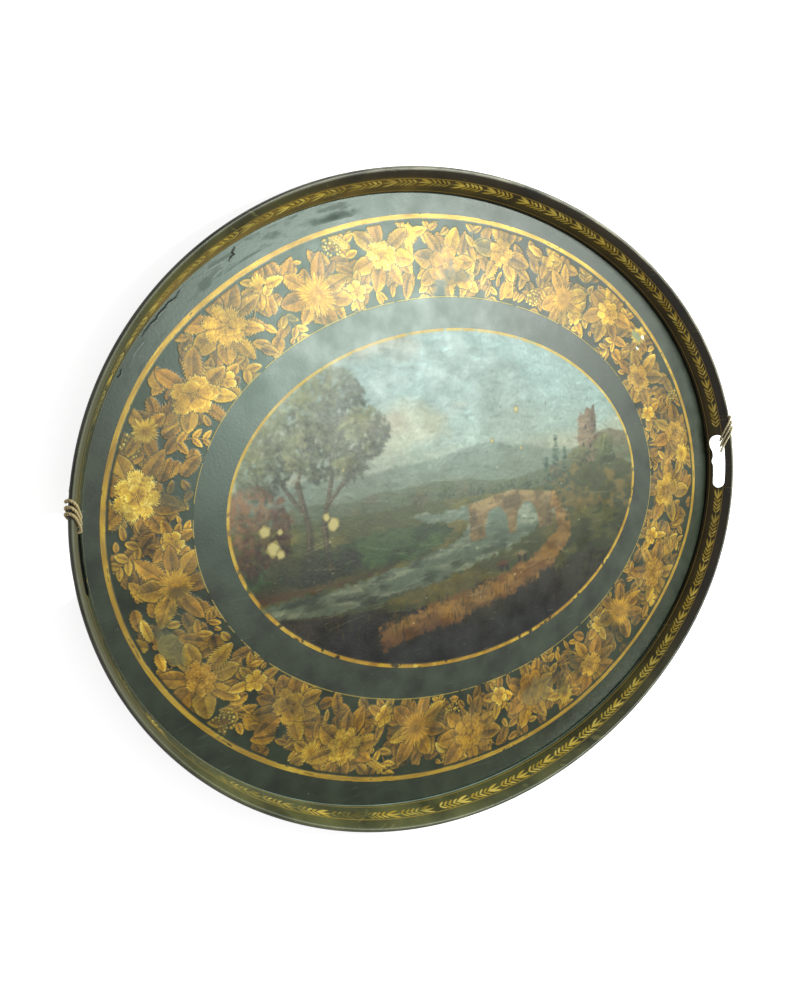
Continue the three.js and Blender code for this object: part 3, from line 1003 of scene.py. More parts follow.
wire_section = arc(BEAD_CENTRE, WIRE / 2, 0, 2 * math.pi, 12)
rows, place = swept(wire_section, 0, 2 * math.pi)
wire = finish_piece("wire_in_the_curl", bent_grid(300, rows, place, closed=True), [bare_iron()])
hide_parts("rim_wire")

# %% [markdown]
# ## A brush that paints on grids
# The gilt border, the garland and the picture are paint, not relief, and far too fine and irregular for
# shader nodes alone. Here each one is a thin skin of paint: a fine flat grid whose points hold a colour. A
# canvas keeps those colours while small functions lay leaves, petals and strokes on it in millimetres, just
# as the decorator laid them with a brush. A point's cover says how much of it is paint and how much bare
# ground.

# %% The canvas
def clouds(x, y, size, seed, octaves=3):
    """Smooth random values from 0 to 1 with lumps about size across."""
    x, y = np.broadcast_arrays(x, y)
    total = np.zeros(x.shape)
    weights = 0
    for octave in range(octaves):
        lattice = np.random.default_rng(seed + octave).random((128, 128))
        across = x / size * 2**octave
        above = y / size * 2**octave
        i, j = np.floor(across).astype(int), np.floor(above).astype(int)
        fx, fy = across - i, above - j
        fx, fy = fx * fx * (3 - 2 * fx), fy * fy * (3 - 2 * fy)
        low = lattice[i % 128, j % 128] * (1 - fx) + lattice[(i + 1) % 128, j % 128] * fx
        high = lattice[i % 128, (j + 1) % 128] * (1 - fx) + lattice[(i + 1) % 128, (j + 1) % 128] * fx
        total += (low * (1 - fy) + high * fy) / 2**octave
        weights += 1 / 2**octave
    return total / weights


class Canvas:
    """Colours and cover on a grid of spots. A closed canvas runs on from its last column to its first."""

    def __init__(self, width, height, step, closed=False):
        self.width, self.height, self.closed = width, height, closed
        self.columns, self.rows = round(width / step), round(height / step)
        self.step_x, self.step_y = width / self.columns, height / self.rows
        size = (self.columns if closed else self.columns + 1, self.rows + 1)
        self.colour = np.zeros((*size, 3))
        self.cover = np.zeros(size)

    def near(self, x, y, reach):
        """The part of the grid round a spot, and how far each of its points is from it."""
        i = np.arange(math.floor((x - reach) / self.step_x), math.ceil((x + reach) / self.step_x) + 1)
        j = np.arange(math.floor((y - reach) / self.step_y), math.ceil((y + reach) / self.step_y) + 1)
        j = j[(j >= 0) & (j <= self.rows)]
        if not self.closed:
            i = i[(i >= 0) & (i <= self.columns)]
        return np.ix_(i % self.cover.shape[0], j), i[:, None] * self.step_x - x, j[None, :] * self.step_y - y

    def lay(self, where, colour, amount, cover=1.0):
        amount = np.clip(amount, 0, 1)
        self.colour[where] += (colour - self.colour[where]) * amount[..., None]
        self.cover[where] += (cover - self.cover[where]) * amount

    def everywhere(self):
        i, j = np.arange(self.cover.shape[0]), np.arange(self.rows + 1)
        return np.ix_(i, j), i[:, None] * self.step_x, j[None, :] * self.step_y

# %% [markdown]
# ### Edges, strokes and curves
# A brush stroke is a line with a width that falls off to both ends. Each helper works on the small part of
# the canvas that it touches, which keeps thousands of strokes quick.

# %% The brush
def edge(depth, softness=0.7):
    """How much a point is painted, from how deep it lies inside an outline, in millimetres."""
    return np.clip(depth / softness + 0.5, 0, 1)


def paint_stroke(canvas, places, width, colour, amount=1.0, cover=1.0):
    """A brush stroke through places. Its width falls off towards both ends."""
    places = np.asarray(places, float)
    count = len(places) - 1
    for k, (start, end) in enumerate(zip(places, places[1:])):
        middle = (start + end) / 2
        across = end - start
        reach = np.linalg.norm(across) / 2 + width
        where, u, v = canvas.near(*middle, reach)
        u, v = u + middle[0] - start[0], v + middle[1] - start[1]
        share = np.clip((u * across[0] + v * across[1]) / max(across @ across, 1e-9), 0, 1)
        away = np.hypot(u - share * across[0], v - share * across[1])
        swell = 0.35 + 0.65 * math.sin(math.pi * (k + 0.5) / count)
        canvas.lay(where, colour, amount * edge(width / 2 * swell - away), cover)


def ahead_of(x, y, turn, length):
    """The place that lies a length away from x, y in the direction turn."""
    return x + length * math.cos(turn), y + length * math.sin(turn)


def curve_between(start, end, bulge, steps=8):
    """Places on an arc-like curve; bulge is how far its middle stands to the left."""
    start, end = np.asarray(start, float), np.asarray(end, float)
    across = end - start
    left = np.array([-across[1], across[0]]) / max(np.linalg.norm(across), 1e-9)
    share = np.linspace(0, 1, steps + 1)[:, None]
    return start + across * share + left * bulge * 4 * share * (1 - share)


# %% [markdown]
# ## Painting in gold leaf
# The border was gilded, then drawn over with brown varnish: each leaf and petal has a pale rim, fine veins
# and a brown base, and a thin line of bare ground parts it from what lies behind. Every motif here works
# out how deep a point lies inside its outline and which tone the gold has there. One palette turns tones
# into colours.

# %% Gold motifs
GOLD_TONES = np.array([0, 0.22, 0.45, 0.68, 0.86, 1.0])
GOLD_CODES = ("#33291a", "#664a1e", "#966b22", "#bc8d25", "#d6ad36", "#efd67c")
GOLD_COLOURS = np.array([screen(code) for code in GOLD_CODES])
ORANGE = screen("#a96a24")
LEMON = screen("#c2ae4a")


def gold(tone, warmth=0.0):
    """Gold leaf under varnish: tone 0 is a dark brown line, 1 is bare pale gold."""
    tone = np.asarray(tone, float)
    base = np.stack([np.interp(tone, GOLD_TONES, GOLD_COLOURS[:, k]) for k in range(3)], axis=-1)
    other = ORANGE if warmth > 0 else LEMON
    share = np.clip(abs(warmth) * np.clip(tone * 1.6, 0, 1), 0, 1)[..., None]
    return base * (1 - share * 0.5) + other * base.mean(axis=-1, keepdims=True) * 1.9 * share * 0.5


def leaf_depth(along, side, width, teeth, count):
    inner = np.clip(along, 0, 1)
    profile = inner**0.5 * (1 - inner) ** 0.75 / 0.431
    saw = 1 - teeth * ((along * count + 0.35 * np.abs(side)) % 1)
    depth = (profile * saw - np.abs(side)) * width / 2
    return np.where((along < 0) | (along > 1), -np.abs(depth) - 1, depth)


def paint_leaf(canvas, x, y, turn, length, width, tone=0.6, warmth=0.0, teeth=0.0, gap=0.9, veins=6):
    """A leaf that grows from x, y in the direction turn."""
    c, s = math.cos(turn), math.sin(turn)
    where, u, v = canvas.near(x + c * length / 2, y + s * length / 2, length * 0.55 + gap)
    if 0 in u.shape or 0 in v.shape:
        return
    along = (u * c + v * s) / length + 0.5
    side = (v * c - u * s) / (width / 2)
    depth = leaf_depth(along, side, width, teeth, length / 2.6)
    depth = depth + 0.09 * width * (clouds(u + x, v + y, 3.2, 15, 2) - 0.5)
    inside = np.maximum(depth, 0)
    shade = tone + 0.3 * np.exp(-inside / 0.9) - 0.22 * np.exp(-np.maximum(along, 0) / 0.2)
    shade -= 0.2 * np.clip(inside / width * 3, 0, 1) * clouds(u + x, v + y, 9.0, 8, 2)
    shade -= 0.2 * np.exp(-((side * width / 2 / 0.5) ** 2)) * (along < 0.8)
    rib = (along * veins - np.abs(side) * 1.5) % 1
    shade -= 0.06 * (np.abs(rib - 0.5) < 0.16) * (np.abs(side) > 0.12)
    shade += 0.12 * np.sign(side) * (1 - np.abs(side)) + 0.34 * (clouds(u + x, v + y, 3.0, 5, 3) - 0.5)
    canvas.lay(where, gold(0.1), 0.9 * edge(depth + gap), 0.6)
    canvas.lay(where, gold(shade, warmth), edge(depth))

# %% [markdown]
# ### Flowers
# Flowers are worked out round their middle: rings of petals for roses and daisies, thin rays for thistles
# and cornflowers. Random clouds bend the outlines, so no two are alike.

# %% Gold flowers
def polar(u, v):
    return np.hypot(u, v), np.arctan2(v, u)


def paint_flower(canvas, x, y, size, petals, rings, scallop, fringe, tone, warmth, squash, turn, seed):
    """A rose or daisy seen from above: rings of petals, each ring smaller and darker at its base."""
    where, u, v = canvas.near(x, y, size + 2)
    c, s = math.cos(turn), math.sin(turn)
    u, v = u * c + v * s, (v * c - u * s) / squash
    away, angle = polar(u, v)
    ragged = clouds(np.cos(angle) * 9 + seed, np.sin(angle) * 9, 1.0, seed, 2) - 0.5
    for ring in range(rings):
        reach = size * (1, 0.74, 0.5, 0.32)[ring]
        share = (angle / (2 * math.pi) * (petals - ring) + 0.37 * ring + seed * 0.13) % 1 - 0.5
        spikes = np.abs(((angle / (2 * math.pi) * size * 3.3 + seed) % 1) - 0.5) * 2
        rim = reach * (1 - scallop * (2 * np.abs(share)) ** 2.5 - fringe * spikes + 0.24 * ragged)
        depth = rim - away
        inner = np.clip(away / rim, 0, 1)
        shade = tone + 0.3 * (inner - 0.62) + 0.2 * np.exp(-np.maximum(depth, 0) / 1.0)
        from_gap = (0.5 - np.abs(share)) * 2 * math.pi * away / (petals - ring)
        shade -= 0.34 * np.exp(-((from_gap / 0.7) ** 2)) * (inner > 0.3)
        shade -= 0.12 * (np.abs(((angle * 11 + share * 5) % 1) - 0.5) < 0.14) * (inner < 0.86)
        shade += 0.4 * (clouds(u + x, v + y, 4.0, seed + 3, 3) - 0.5)
        if ring == 0:
            canvas.lay(where, gold(0.1), 0.9 * edge(depth + 0.9), 0.6)
        else:
            canvas.lay(where, gold(0.3), 0.6 * edge(depth + 0.7))
        canvas.lay(where, gold(shade, warmth), edge(depth))
    heart = size * 0.16 - away
    dots = (np.abs((u / 1.5) % 1 - 0.5) + np.abs((v / 1.5) % 1 - 0.5)) < 0.42
    canvas.lay(where, gold(0.26 + 0.5 * dots, 0.3), edge(heart))


def paint_fringed(canvas, x, y, size, turn, spread, rays, tone, warmth, seed):
    """A thistle or cornflower seen from the side, or with a full spread from above: many thin jagged rays."""
    where, u, v = canvas.near(x, y, size + 2)
    away, angle = polar(u, v)
    angle = (angle - turn + math.pi) % (2 * math.pi) - math.pi
    number = np.floor((angle / (2 * math.pi) + 0.5) * rays)
    share = (angle / (2 * math.pi) + 0.5) * rays - number - 0.5
    lengths = np.random.default_rng(seed).uniform(0.7, 1.0, rays + 1)[number.astype(int) % (rays + 1)]
    rim = size * lengths * (1 - 0.5 * np.abs(share)) * np.clip((spread - np.abs(angle)) * 4, 0, 1)
    half_ray = (0.5 - 0.32 * away / size - np.abs(share)) * 2 * math.pi * away / rays
    depth = np.minimum(rim - away, half_ray + 0.5)
    shade = tone + 0.28 * (away / size - 0.6) + 0.12 * (number % 2) - 0.2 * np.exp(-(away / size / 0.25) ** 2)
    shade += 0.2 * (clouds(u + x, v + y, 3.0, seed, 2) - 0.5)
    canvas.lay(where, gold(0.22), 0.9 * edge(rim - away + 0.3), 0.8)
    canvas.lay(where, gold(shade, warmth), edge(depth))
    canvas.lay(where, gold(0.35 + 0.3 * clouds(u + x, v + y, 1.6, 9, 1), 0.3), edge(size * 0.2 - away))


def paint_dot(canvas, x, y, radius, tone, warmth=0.0):
    where, u, v = canvas.near(x, y, radius + 1)
    away = np.hypot(u, v)
    shine = np.exp(-((u + radius * 0.3) ** 2 + (v - radius * 0.3) ** 2) / (0.45 * radius) ** 2)
    canvas.lay(where, gold(0.05), 0.7 * edge(radius + 0.5 - away), 0.3)
    canvas.lay(where, gold(tone + 0.3 * shine, warmth), edge(radius - away))


# %% [markdown]
# ## Small sprays
# Between the large flowers the decorator set berries, ears of wheat, grasses and stems with paired
# leaflets. They are made of the same leaves, dots and strokes.

# %% Sprays of small motifs
def paint_berries(canvas, x, y, size, rng, count=22):
    for _ in range(count):
        away, angle = size * math.sqrt(rng.random()), rng.uniform(0, 2 * math.pi)
        place = ahead_of(x, y, angle, away)
        paint_stroke(canvas, [(x, y), place], 0.6, gold(0.35), 0.6)
        paint_dot(canvas, *place, rng.uniform(0.9, 1.5), rng.uniform(0.6, 0.9), -0.5)


def paint_spray(canvas, x, y, turn, pairs, size, rng, tone=0.62, teeth=0.0, bulge=0.12, warmth=0.0):
    """A stem with paired leaflets and one at its tip."""
    length = size * 0.62 * (pairs + 1)
    line = curve_between((x, y), ahead_of(x, y, turn, length), bulge * length)
    paint_stroke(canvas, line, 1.1, gold(tone - 0.1))
    for k in range(pairs):
        share = (k + 0.6) / (pairs + 0.6)
        place = line[round(share * (len(line) - 1))]
        scale = size * (1 - 0.3 * share) * rng.uniform(0.9, 1.1)
        for hand in (1, -1):
            paint_leaf(
                canvas, *place, turn + hand * rng.uniform(0.75, 1.0), scale, scale * 0.56,
                tone + rng.uniform(-0.06, 0.1), warmth, teeth, gap=0.7, veins=4,
            )
    paint_leaf(canvas, *line[-1], turn, size * 0.8, size * 0.45, tone + 0.08, warmth, teeth, gap=0.7, veins=4)


def paint_ear(canvas, x, y, turn, length, rng):
    """An ear of wheat with its awns."""
    for k in range(7):
        base = ahead_of(x, y, turn, length * ((k + 0.5) / 7))
        for hand in (1, -1):
            paint_leaf(canvas, *base, turn + hand * 0.5, 6.5, 3.0, 0.74, -0.2, gap=0.4, veins=1)
            tip = ahead_of(*base, turn + hand * rng.uniform(0.12, 0.4), 16)
            paint_stroke(canvas, [base, tip], 0.6, gold(0.8, -0.3), 0.8)


def paint_grass(canvas, x, y, turn, length, blades, rng):
    for _ in range(blades):
        way = turn + rng.uniform(-0.5, 0.5)
        far = length * rng.uniform(0.6, 1.0)
        blade = curve_between((x, y), ahead_of(x, y, way, far), rng.uniform(-0.2, 0.2) * far)
        paint_stroke(canvas, blade, 1.3, gold(rng.uniform(0.4, 0.75)), 0.9)


# %% [markdown]
# ## The gilt border's design
# The border fills the band between the broad outer gold line and the thin inner line. Rolled out, the band
# is a long strip, as long as its middle line. Large flowers stand along it with leaves all round them,
# smaller flowers and sprays fill the bays, and whatever ground is still bare gets one more small leaf. The
# random draws start from a fixed seed, so the border is the same at every run.

# %% The band of the border
PAINT_CENTRE = np.array([-5.92, 0.97])
OUTER_OVAL = np.array([337.6, 250.65])
BAND = 72.0
OUTER_LINE = 4.0
THIN_LINE = 71.2
PAINT_TOP = SHEET + 0.05
PAINT_UNDER = SHEET - 0.02


def oval_table(inset, count=4000):
    """Angles and the length run so far along the oval that lies inset from the outer one."""
    angles = np.linspace(0, 2 * math.pi, count + 1)
    spots = PAINT_CENTRE + (OUTER_OVAL - inset) * np.stack([np.cos(angles), np.sin(angles)], axis=1)
    run = np.concatenate([[0], np.cumsum(np.linalg.norm(np.diff(spots, axis=0), axis=1))])
    return angles, run


band_angles, band_run = oval_table(BAND / 2)
BAND_LENGTH = band_run[-1]
BORDER_STEP = 0.64
HEROES = 22
PITCH = BAND_LENGTH / HEROES
LEAF_ROWS = (17, 27, 37, 47, 57)
WORN_PLACES = (
    (895, 25, 17, "#68664a", 0.75), (1310, 40, 20, "#6f6c50", 0.4), (139, 14, 2.6, "#f4f2e6", 1.0),
    (135, 28.5, 2.2, "#ecebe0", 1.0), (146, 20, 7, "#6c7a66", 0.8),
)

# %% [markdown]
# ### Leaves, bays and flowers
# The painting goes from back to front: a bed of leaves, then grasses and sprays in the bays, then the large
# flowers with their own leaves, and a smaller flower after each.

# %% Place the motifs
def fill_bare_ground(canvas, rng, low, high, tries, size, limit):
    """One more small leaf wherever the cover round a random spot is below the limit."""
    for _ in range(tries):
        x, y = rng.uniform(0, canvas.width), rng.uniform(low, high)
        where, _, _ = canvas.near(x, y, size * 0.5)
        if canvas.cover[where].mean() < limit:
            turn = rng.uniform(0, 2 * math.pi)
            paint_leaf(canvas, *ahead_of(x, y, turn, -size / 2), turn, size, size * rng.uniform(0.5, 0.65),
                       rng.uniform(0.5, 0.72), rng.uniform(-0.5, 0.5), rng.choice([0, 0.2]), gap=0.7, veins=4)


def paint_leaf_bed(canvas, rng):
    """Rows of dark leaves that lie under everything else."""
    for k in range(HEROES * 5):
        x = (k + rng.uniform(0.2, 0.8)) * PITCH / 5
        for y in LEAF_ROWS:
            turn = rng.uniform(0, 2 * math.pi)
            paint_leaf(canvas, x + rng.uniform(-6, 6), y + rng.uniform(-5, 5), turn, rng.uniform(15, 22),
                       rng.uniform(10, 14), rng.uniform(0.34, 0.56), rng.uniform(-0.6, 0.8),
                       rng.choice([0, 0.2, 0.3]), gap=0.7)


def paint_bay(canvas, k, rng):
    """Grass and two sprays between two large flowers, here and there with berries or an ear of wheat."""
    x = (k + rng.uniform(0.35, 0.65)) * PITCH
    paint_grass(canvas, x, rng.uniform(25, 50), rng.uniform(0, 6.28), 28, 9, rng)
    for y, turn in ((44, rng.uniform(1.0, 2.1)), (30, rng.uniform(-2.1, -1.0))):
        paint_spray(canvas, x + PITCH * rng.uniform(0.3, 0.6), y, turn, 3, rng.uniform(12, 15), rng, 0.6,
                    teeth=rng.choice([0, 0.25]), warmth=rng.uniform(-0.5, 0.5))
    if k % 3 == 0:
        paint_berries(canvas, x + PITCH * 0.5, rng.choice([14, 58]), 9, rng, 34)
    if k % 4 == 2:
        paint_ear(canvas, x + PITCH * 0.3, rng.choice([20, 52]), rng.uniform(0, 6.28), 20, rng)


def paint_hero(canvas, k, rng):
    """A large flower with leaves all round it, and the smaller flower beside it."""
    x = (k + 0.5 + rng.uniform(-0.14, 0.14)) * PITCH
    y = (29, 46)[k % 2] + rng.uniform(-4, 4)
    size = rng.uniform(15, 20)
    first = rng.uniform(0, 6.28)
    leaves = int(rng.integers(6, 9))
    for n in range(leaves):
        turn = first + 2 * math.pi * (n + rng.uniform(-0.3, 0.3)) / leaves
        paint_leaf(canvas, *ahead_of(x, y, turn, size * 0.6), turn, rng.uniform(20, 28), rng.uniform(13, 18),
                   rng.uniform(0.44, 0.66), rng.uniform(-0.6, 0.9), rng.choice([0, 0.2, 0.34]), gap=0.9)
    kind = k % 4
    warmth = rng.uniform(-0.6, 0.7)
    tone = rng.uniform(0.5, 0.7)
    if kind == 3:
        paint_fringed(canvas, x, y, size * 1.1, first, 3.3, 40, tone, warmth, k)
    elif kind == 1:
        paint_flower(canvas, x, y, size * 1.1, 5, 2, 0.3, 0.1, tone, warmth, rng.uniform(0.7, 0.9), first, k)
    else:
        paint_flower(canvas, x, y, size, 7, 3, 0.2, 0.16, tone, warmth, rng.uniform(0.74, 1), first, k)
    paint_small_flower(canvas, k, x + PITCH * 0.5, first, rng)


def paint_small_flower(canvas, k, x, first, rng):
    """A smaller flower on four leaves."""
    y = (56, 18)[k % 2] + rng.uniform(-3, 3)
    x = x + rng.uniform(-5, 5)
    for n in range(4):
        turn = first + 2 * math.pi * (n + rng.uniform(-0.2, 0.2)) / 4
        paint_leaf(canvas, *ahead_of(x, y, turn, 5), turn, rng.uniform(13, 19), rng.uniform(9, 12),
                   rng.uniform(0.5, 0.75), rng.uniform(-0.6, 0.6), 0.24, gap=0.8)
    if k % 2:
        paint_fringed(canvas, x, y, 12, first, (3.3, 1.2)[k % 4 == 3], 28, 0.7, -0.3, k + 50)
    else:
        paint_flower(canvas, x, y, 11, 5, 1, 0.35, 0.1, 0.7, -0.2, 0.9, first, k + 50)

# %% [markdown]
# ### Wear and the two gold lines
# Last come the marks of age and the two lines that the decorator drew with a fine brush. The lines lie over
# the motifs, so they are drawn at the end.

# %% Wear the border and draw its lines
def wear_border(canvas):
    """Keeps the motifs between the two lines, rubs some of them off and stains the worn places."""
    where, x, y = canvas.everywhere()
    between_lines = np.clip((y - OUTER_LINE - 1.6) / 1.2, 0, 1) * np.clip((THIN_LINE - 0.4 - y) / 1.0, 0, 1)
    canvas.cover[where] *= np.broadcast_to(between_lines, canvas.cover.shape)
    rubbed = clouds(x, y, 26, 31, 4)
    canvas.cover[where] *= 1 - 0.6 * np.clip((rubbed - 0.68) / 0.1, 0, 1)
    canvas.colour[where] *= (0.66 + 0.62 * clouds(x, y, 17, 35, 4))[..., None]
    for run, inset, size, code, amount in WORN_PLACES:
        away = np.hypot((x - run) / size, (y - inset) / (0.6 * size))
        away = away + 0.9 * (clouds(x, y, size / 2, 39, 4) - 0.5)
        canvas.lay(where, screen(code), amount * edge(1 - away, 0.3))


def draw_lines(canvas):
    """The broad gold line outside the motifs and the thin one inside them."""
    where, x, y = canvas.everywhere()
    brushed = clouds(x / 6, y, 2.0, 41, 3)
    line = gold(0.68 + 0.5 * (brushed - 0.5) + 0.2 * (clouds(x, y, 40, 44, 2) - 0.5), -0.3)
    canvas.lay(where, line, edge(OUTER_LINE - y) * (0.97 - 0.5 * (brushed > 0.78)))
    broken = 0.9 - 0.7 * (clouds(x, y, 9, 47, 3) > 0.66)
    canvas.lay(where, gold(0.92, -0.4) * 0.86, edge(0.55 - np.abs(y - THIN_LINE)) * broken)


def paint_border():
    rng = np.random.default_rng(21)
    canvas = Canvas(BAND_LENGTH, BAND, BORDER_STEP, closed=True)
    paint_leaf_bed(canvas, rng)
    for k in range(HEROES):
        paint_bay(canvas, k, rng)
    for k in range(HEROES):
        paint_hero(canvas, k, rng)
    fill_bare_ground(canvas, rng, 13, 66, 1500, 11, 0.36)
    fill_bare_ground(canvas, rng, 10, 68, 900, 7, 0.2)
    wear_border(canvas)
    draw_lines(canvas)
    return canvas


border = paint_border()
print("border painted on", border.cover.size, "points, cover", round(float(border.cover.mean()), 2))

# %% [markdown]
# ## Skins of paint
# A skin is a fine grid laid just proud of the metal and closed underneath, so it is a thin solid of its
# own. On the flat floor one face closes it. On the curved wall a coarse grid does, and it meets the fine
# one at the rim. The points take their colour from the canvas. The border is cut into four skins, because
# one mesh that fine would be heavy to handle.

# %% Lay a skin
UNDER_ROWS = 4


def close_flat(shape):
    """Walls down from the rim and one flat face below; the points of the lower face are returned."""
    rim = [one for one in shape.edges if one.is_boundary]
    walls = bmesh.ops.extrude_edge_only(shape, edges=rim)
    low = [item for item in walls["geom"] if isinstance(item, bmesh.types.BMVert)]
    bmesh.ops.holes_fill(shape, edges=[one for one in shape.edges if one.is_boundary], sides=0)
    return low


def close_curved(shape, spots, columns):
    """A coarse grid below; its points and the fine grid's rim are returned, because they will meet."""
    rim = [corner for corner in shape.verts if corner.is_boundary]
    made = bmesh.ops.create_grid(shape, x_segments=columns, y_segments=UNDER_ROWS, size=0.5)
    for corner in made["verts"]:
        corner[spots] = (corner.co.x + 0.5, corner.co.y + 0.5, 0)
    return rim + made["verts"]


def paint_skin(name, canvas, first, last, place, under, material, curved=False):
    """The canvas's columns from first to last as a closed thin skin; place and under bend its two faces."""
    shape = bmesh.new()
    bmesh.ops.create_grid(shape, x_segments=last - first, y_segments=canvas.rows, size=0.5)
    spots = shape.verts.layers.float_vector.new("spot")
    for corner in shape.verts:
        corner[spots] = (corner.co.x + 0.5, corner.co.y + 0.5, 0)
    low = set(close_curved(shape, spots, last - first) if curved else close_flat(shape))
    share = np.array([corner[spots][:2] for corner in shape.verts])
    column = first + share[:, 0] * (last - first)
    top = place(column * canvas.step_x, share[:, 1] * canvas.height) * MM
    bottom = under(column * canvas.step_x, share[:, 1] * canvas.height) * MM
    for number, corner in enumerate(shape.verts):
        corner.co = bottom[number] if corner in low else top[number]
    if curved:
        bmesh.ops.remove_doubles(shape, verts=list(low), dist=1e-6)
        bmesh.ops.holes_fill(shape, edges=[one for one in shape.edges if one.is_boundary], sides=0)
    share = np.array([corner[spots][:2] for corner in shape.verts])
    shape.verts.layers.float_vector.remove(spots)
    bmesh.ops.recalc_face_normals(shape, faces=shape.faces)
    piece = finish_piece(name, shape, [material], sharp=50)
    i = np.rint(first + share[:, 0] * (last - first)).astype(int) % canvas.cover.shape[0]
    j = np.rint(share[:, 1] * canvas.rows).astype(int)
    paint = piece.data.color_attributes.new("paint", "FLOAT_COLOR", "POINT")
    values = np.concatenate([to_linear(canvas.colour[i, j]), canvas.cover[i, j][:, None]], axis=1)
    paint.data.foreach_set("color", values.astype(np.float32).ravel())
    return piece

# %% [markdown]
# ### The border on the floor
# The band's strip is bent back round its oval. The decorator's oval wasn't true, so a short function says
# how far it bulges. The gold is a metal only in part, because varnish covers it.

# %% Lay the border
def line_stray(angle, inset):
    """How far the border, put on by hand, bulges out of its oval: at the right end and at the far left."""
    right = 8.5 * np.maximum(0, np.cos(angle + 0.2)) ** 12
    far_left = 1.5 * np.maximum(0, np.cos(angle - 2.58)) ** 40
    return (1.0 + right + far_left) * (1 - inset / 110)


def in_band(height):
    def place(x, y):
        angle = np.interp(x, band_run, band_angles)
        reach = OUTER_OVAL + (line_stray(angle, y) - y)[:, None]
        spots = PAINT_CENTRE + reach * np.stack([np.cos(angle), np.sin(angle)], axis=1)
        return np.column_stack([spots, np.full(len(x), height)])

    return place


def gilded_ground():
    """Gold paint over the japanned ground; the skin's cover says where the gold is."""
    material, tree, shader = new_material("gilding_on_green")
    wear = place_wear(tree)
    colour, cover = painted(tree)
    gilt = mixed(tree, ranged(tree, wear["Bloom"], 0, 1, 0, 0.16), colour, "#8f8e6c")
    fill_inputs(tree, shader, {
        # The ground under the gold carries the painted teal reflection at the far left.
        "Base Color": mixed(tree, cover, ground_colour(tree, wear, teal_sheen=0.5), gilt),
        "Metallic": calculated(tree, "MULTIPLY", cover, GOLD_METAL),
        "Roughness": ranged(tree, wear["Bloom"], 0, 1, 0.35, 0.44),
        "Normal": bump(tree, cover, 0.00015, 0.5, Normal=dent_bump(tree, wear)),
    })
    return material


gilding_finish = gilded_ground()
QUARTERS = 4
cuts = [round(border.columns * k / QUARTERS) for k in range(QUARTERS + 1)]
for k in range(QUARTERS):
    paint_skin(f"gilt_border_{k + 1}", border, cuts[k], cuts[k + 1], in_band(PAINT_TOP), in_band(PAINT_UNDER),
               gilding_finish)

# %% [markdown]
# ## Cracks and scuffs beside the border
# At the upper left the bare green ground has cracked along the foot of the gallery: dark jagged lines with
# a pale lifted edge. They are painted on one more skin, which has no cover anywhere else, so it shows the
# same ground.

# %% Paint the cracks
SCUFF_START, SCUFF_END = math.radians(104), math.radians(156)
SCUFF_INNER, SCUFF_OUTER = -14.8, -1.4
CRACKS = (
    [(136.9, -1.6), (138.0, -3.4), (138.7, -2.8), (139.4, -1.8), (140.2, -2.6), (141.5, -2.0), (142.3, -3.2),
     (143.2, -2.0), (144.7, -1.9), (145.5, -2.4)],
    [(126.6, -2.4), (127.0, -3.6), (127.4, -4.9), (127.3, -6.4), (128.2, -7.4), (128.5, -8.6)],
    [(151.2, -1.6), (151.8, -3.0), (152.4, -2.2)],
)
PALE_SCRATCHES = (
    [(127.6, -7.0), (129.5, -6.4), (132.4, -4.6), (134.3, -2.4)],
    [(121.0, -4.0), (122.2, -5.6), (123.0, -8.0)],
    [(128.8, -11.4), (130.6, -10.6), (132.0, -11.8)],
    [(146.0, -6.0), (148.5, -5.0), (150.0, -7.0)],
)


def cracked_paint():
    """The same green ground, dull and dark where it has cracked open."""
    material, tree, shader = new_material("cracked_green")
    wear = place_wear(tree)
    colour, cover = painted(tree)
    dull = calculated(tree, "MULTIPLY", ranged(tree, colour, 0.05, 0.01), cover)
    fill_inputs(tree, shader, {
        # The ground round the cracks carries the painted teal reflection at the far left.
        "Base Color": mixed(tree, cover, ground_colour(tree, wear, teal_sheen=0.5), colour),
        "Roughness": ranged(tree, dull, 0, 1, 0.39, 0.9),
        "Normal": dent_bump(tree, wear),
        "Specular IOR Level": 0.64,
    })
    return material


def scuff_place(height):
    def place(x, y):
        angle = SCUFF_START + (SCUFF_END - SCUFF_START) * x / SCUFF_LENGTH
        return on_tray(angle, SCUFF_INNER + y, np.full(len(x), float(height)))

    return place


def scuff_spot(degrees, out):
    share = (math.radians(degrees) - SCUFF_START) / (SCUFF_END - SCUFF_START)
    return np.array([share * SCUFF_LENGTH, out - SCUFF_INNER])


def paint_scuffs():
    canvas = Canvas(SCUFF_LENGTH, SCUFF_OUTER - SCUFF_INNER, BORDER_STEP)
    where, x, y = canvas.everywhere()
    from_end = np.clip((x - 3) / 14, 0, 1)
    smear = np.hypot((x - scuff_spot(110.5, 0)[0]) / 17, (y - 2.9) / 2.6)
    smear = smear + 1.1 * (clouds(x, y, 5, 61, 4) - 0.5)
    canvas.lay(where, screen("#1e2118"), 0.5 * edge(1 - smear, 1.6) * from_end)
    dusty = clouds(x / 3, y, 5, 63, 4)
    canvas.lay(where, screen("#6f8478"), 0.3 * np.clip((dusty - 0.5) / 0.25, 0, 1) * from_end)
    for line in PALE_SCRATCHES:
        paint_stroke(canvas, [scuff_spot(*spot) for spot in line], 0.9, screen("#9fb0a4"), 0.7)
    for line in CRACKS:
        spots = [scuff_spot(*spot) for spot in line]
        paint_stroke(canvas, [spot + [0.5, -1.1] for spot in spots], 1.0, screen("#9fae9f"), 0.6)
        paint_stroke(canvas, spots, 1.6, screen("#12150e"), 0.95)
    return canvas


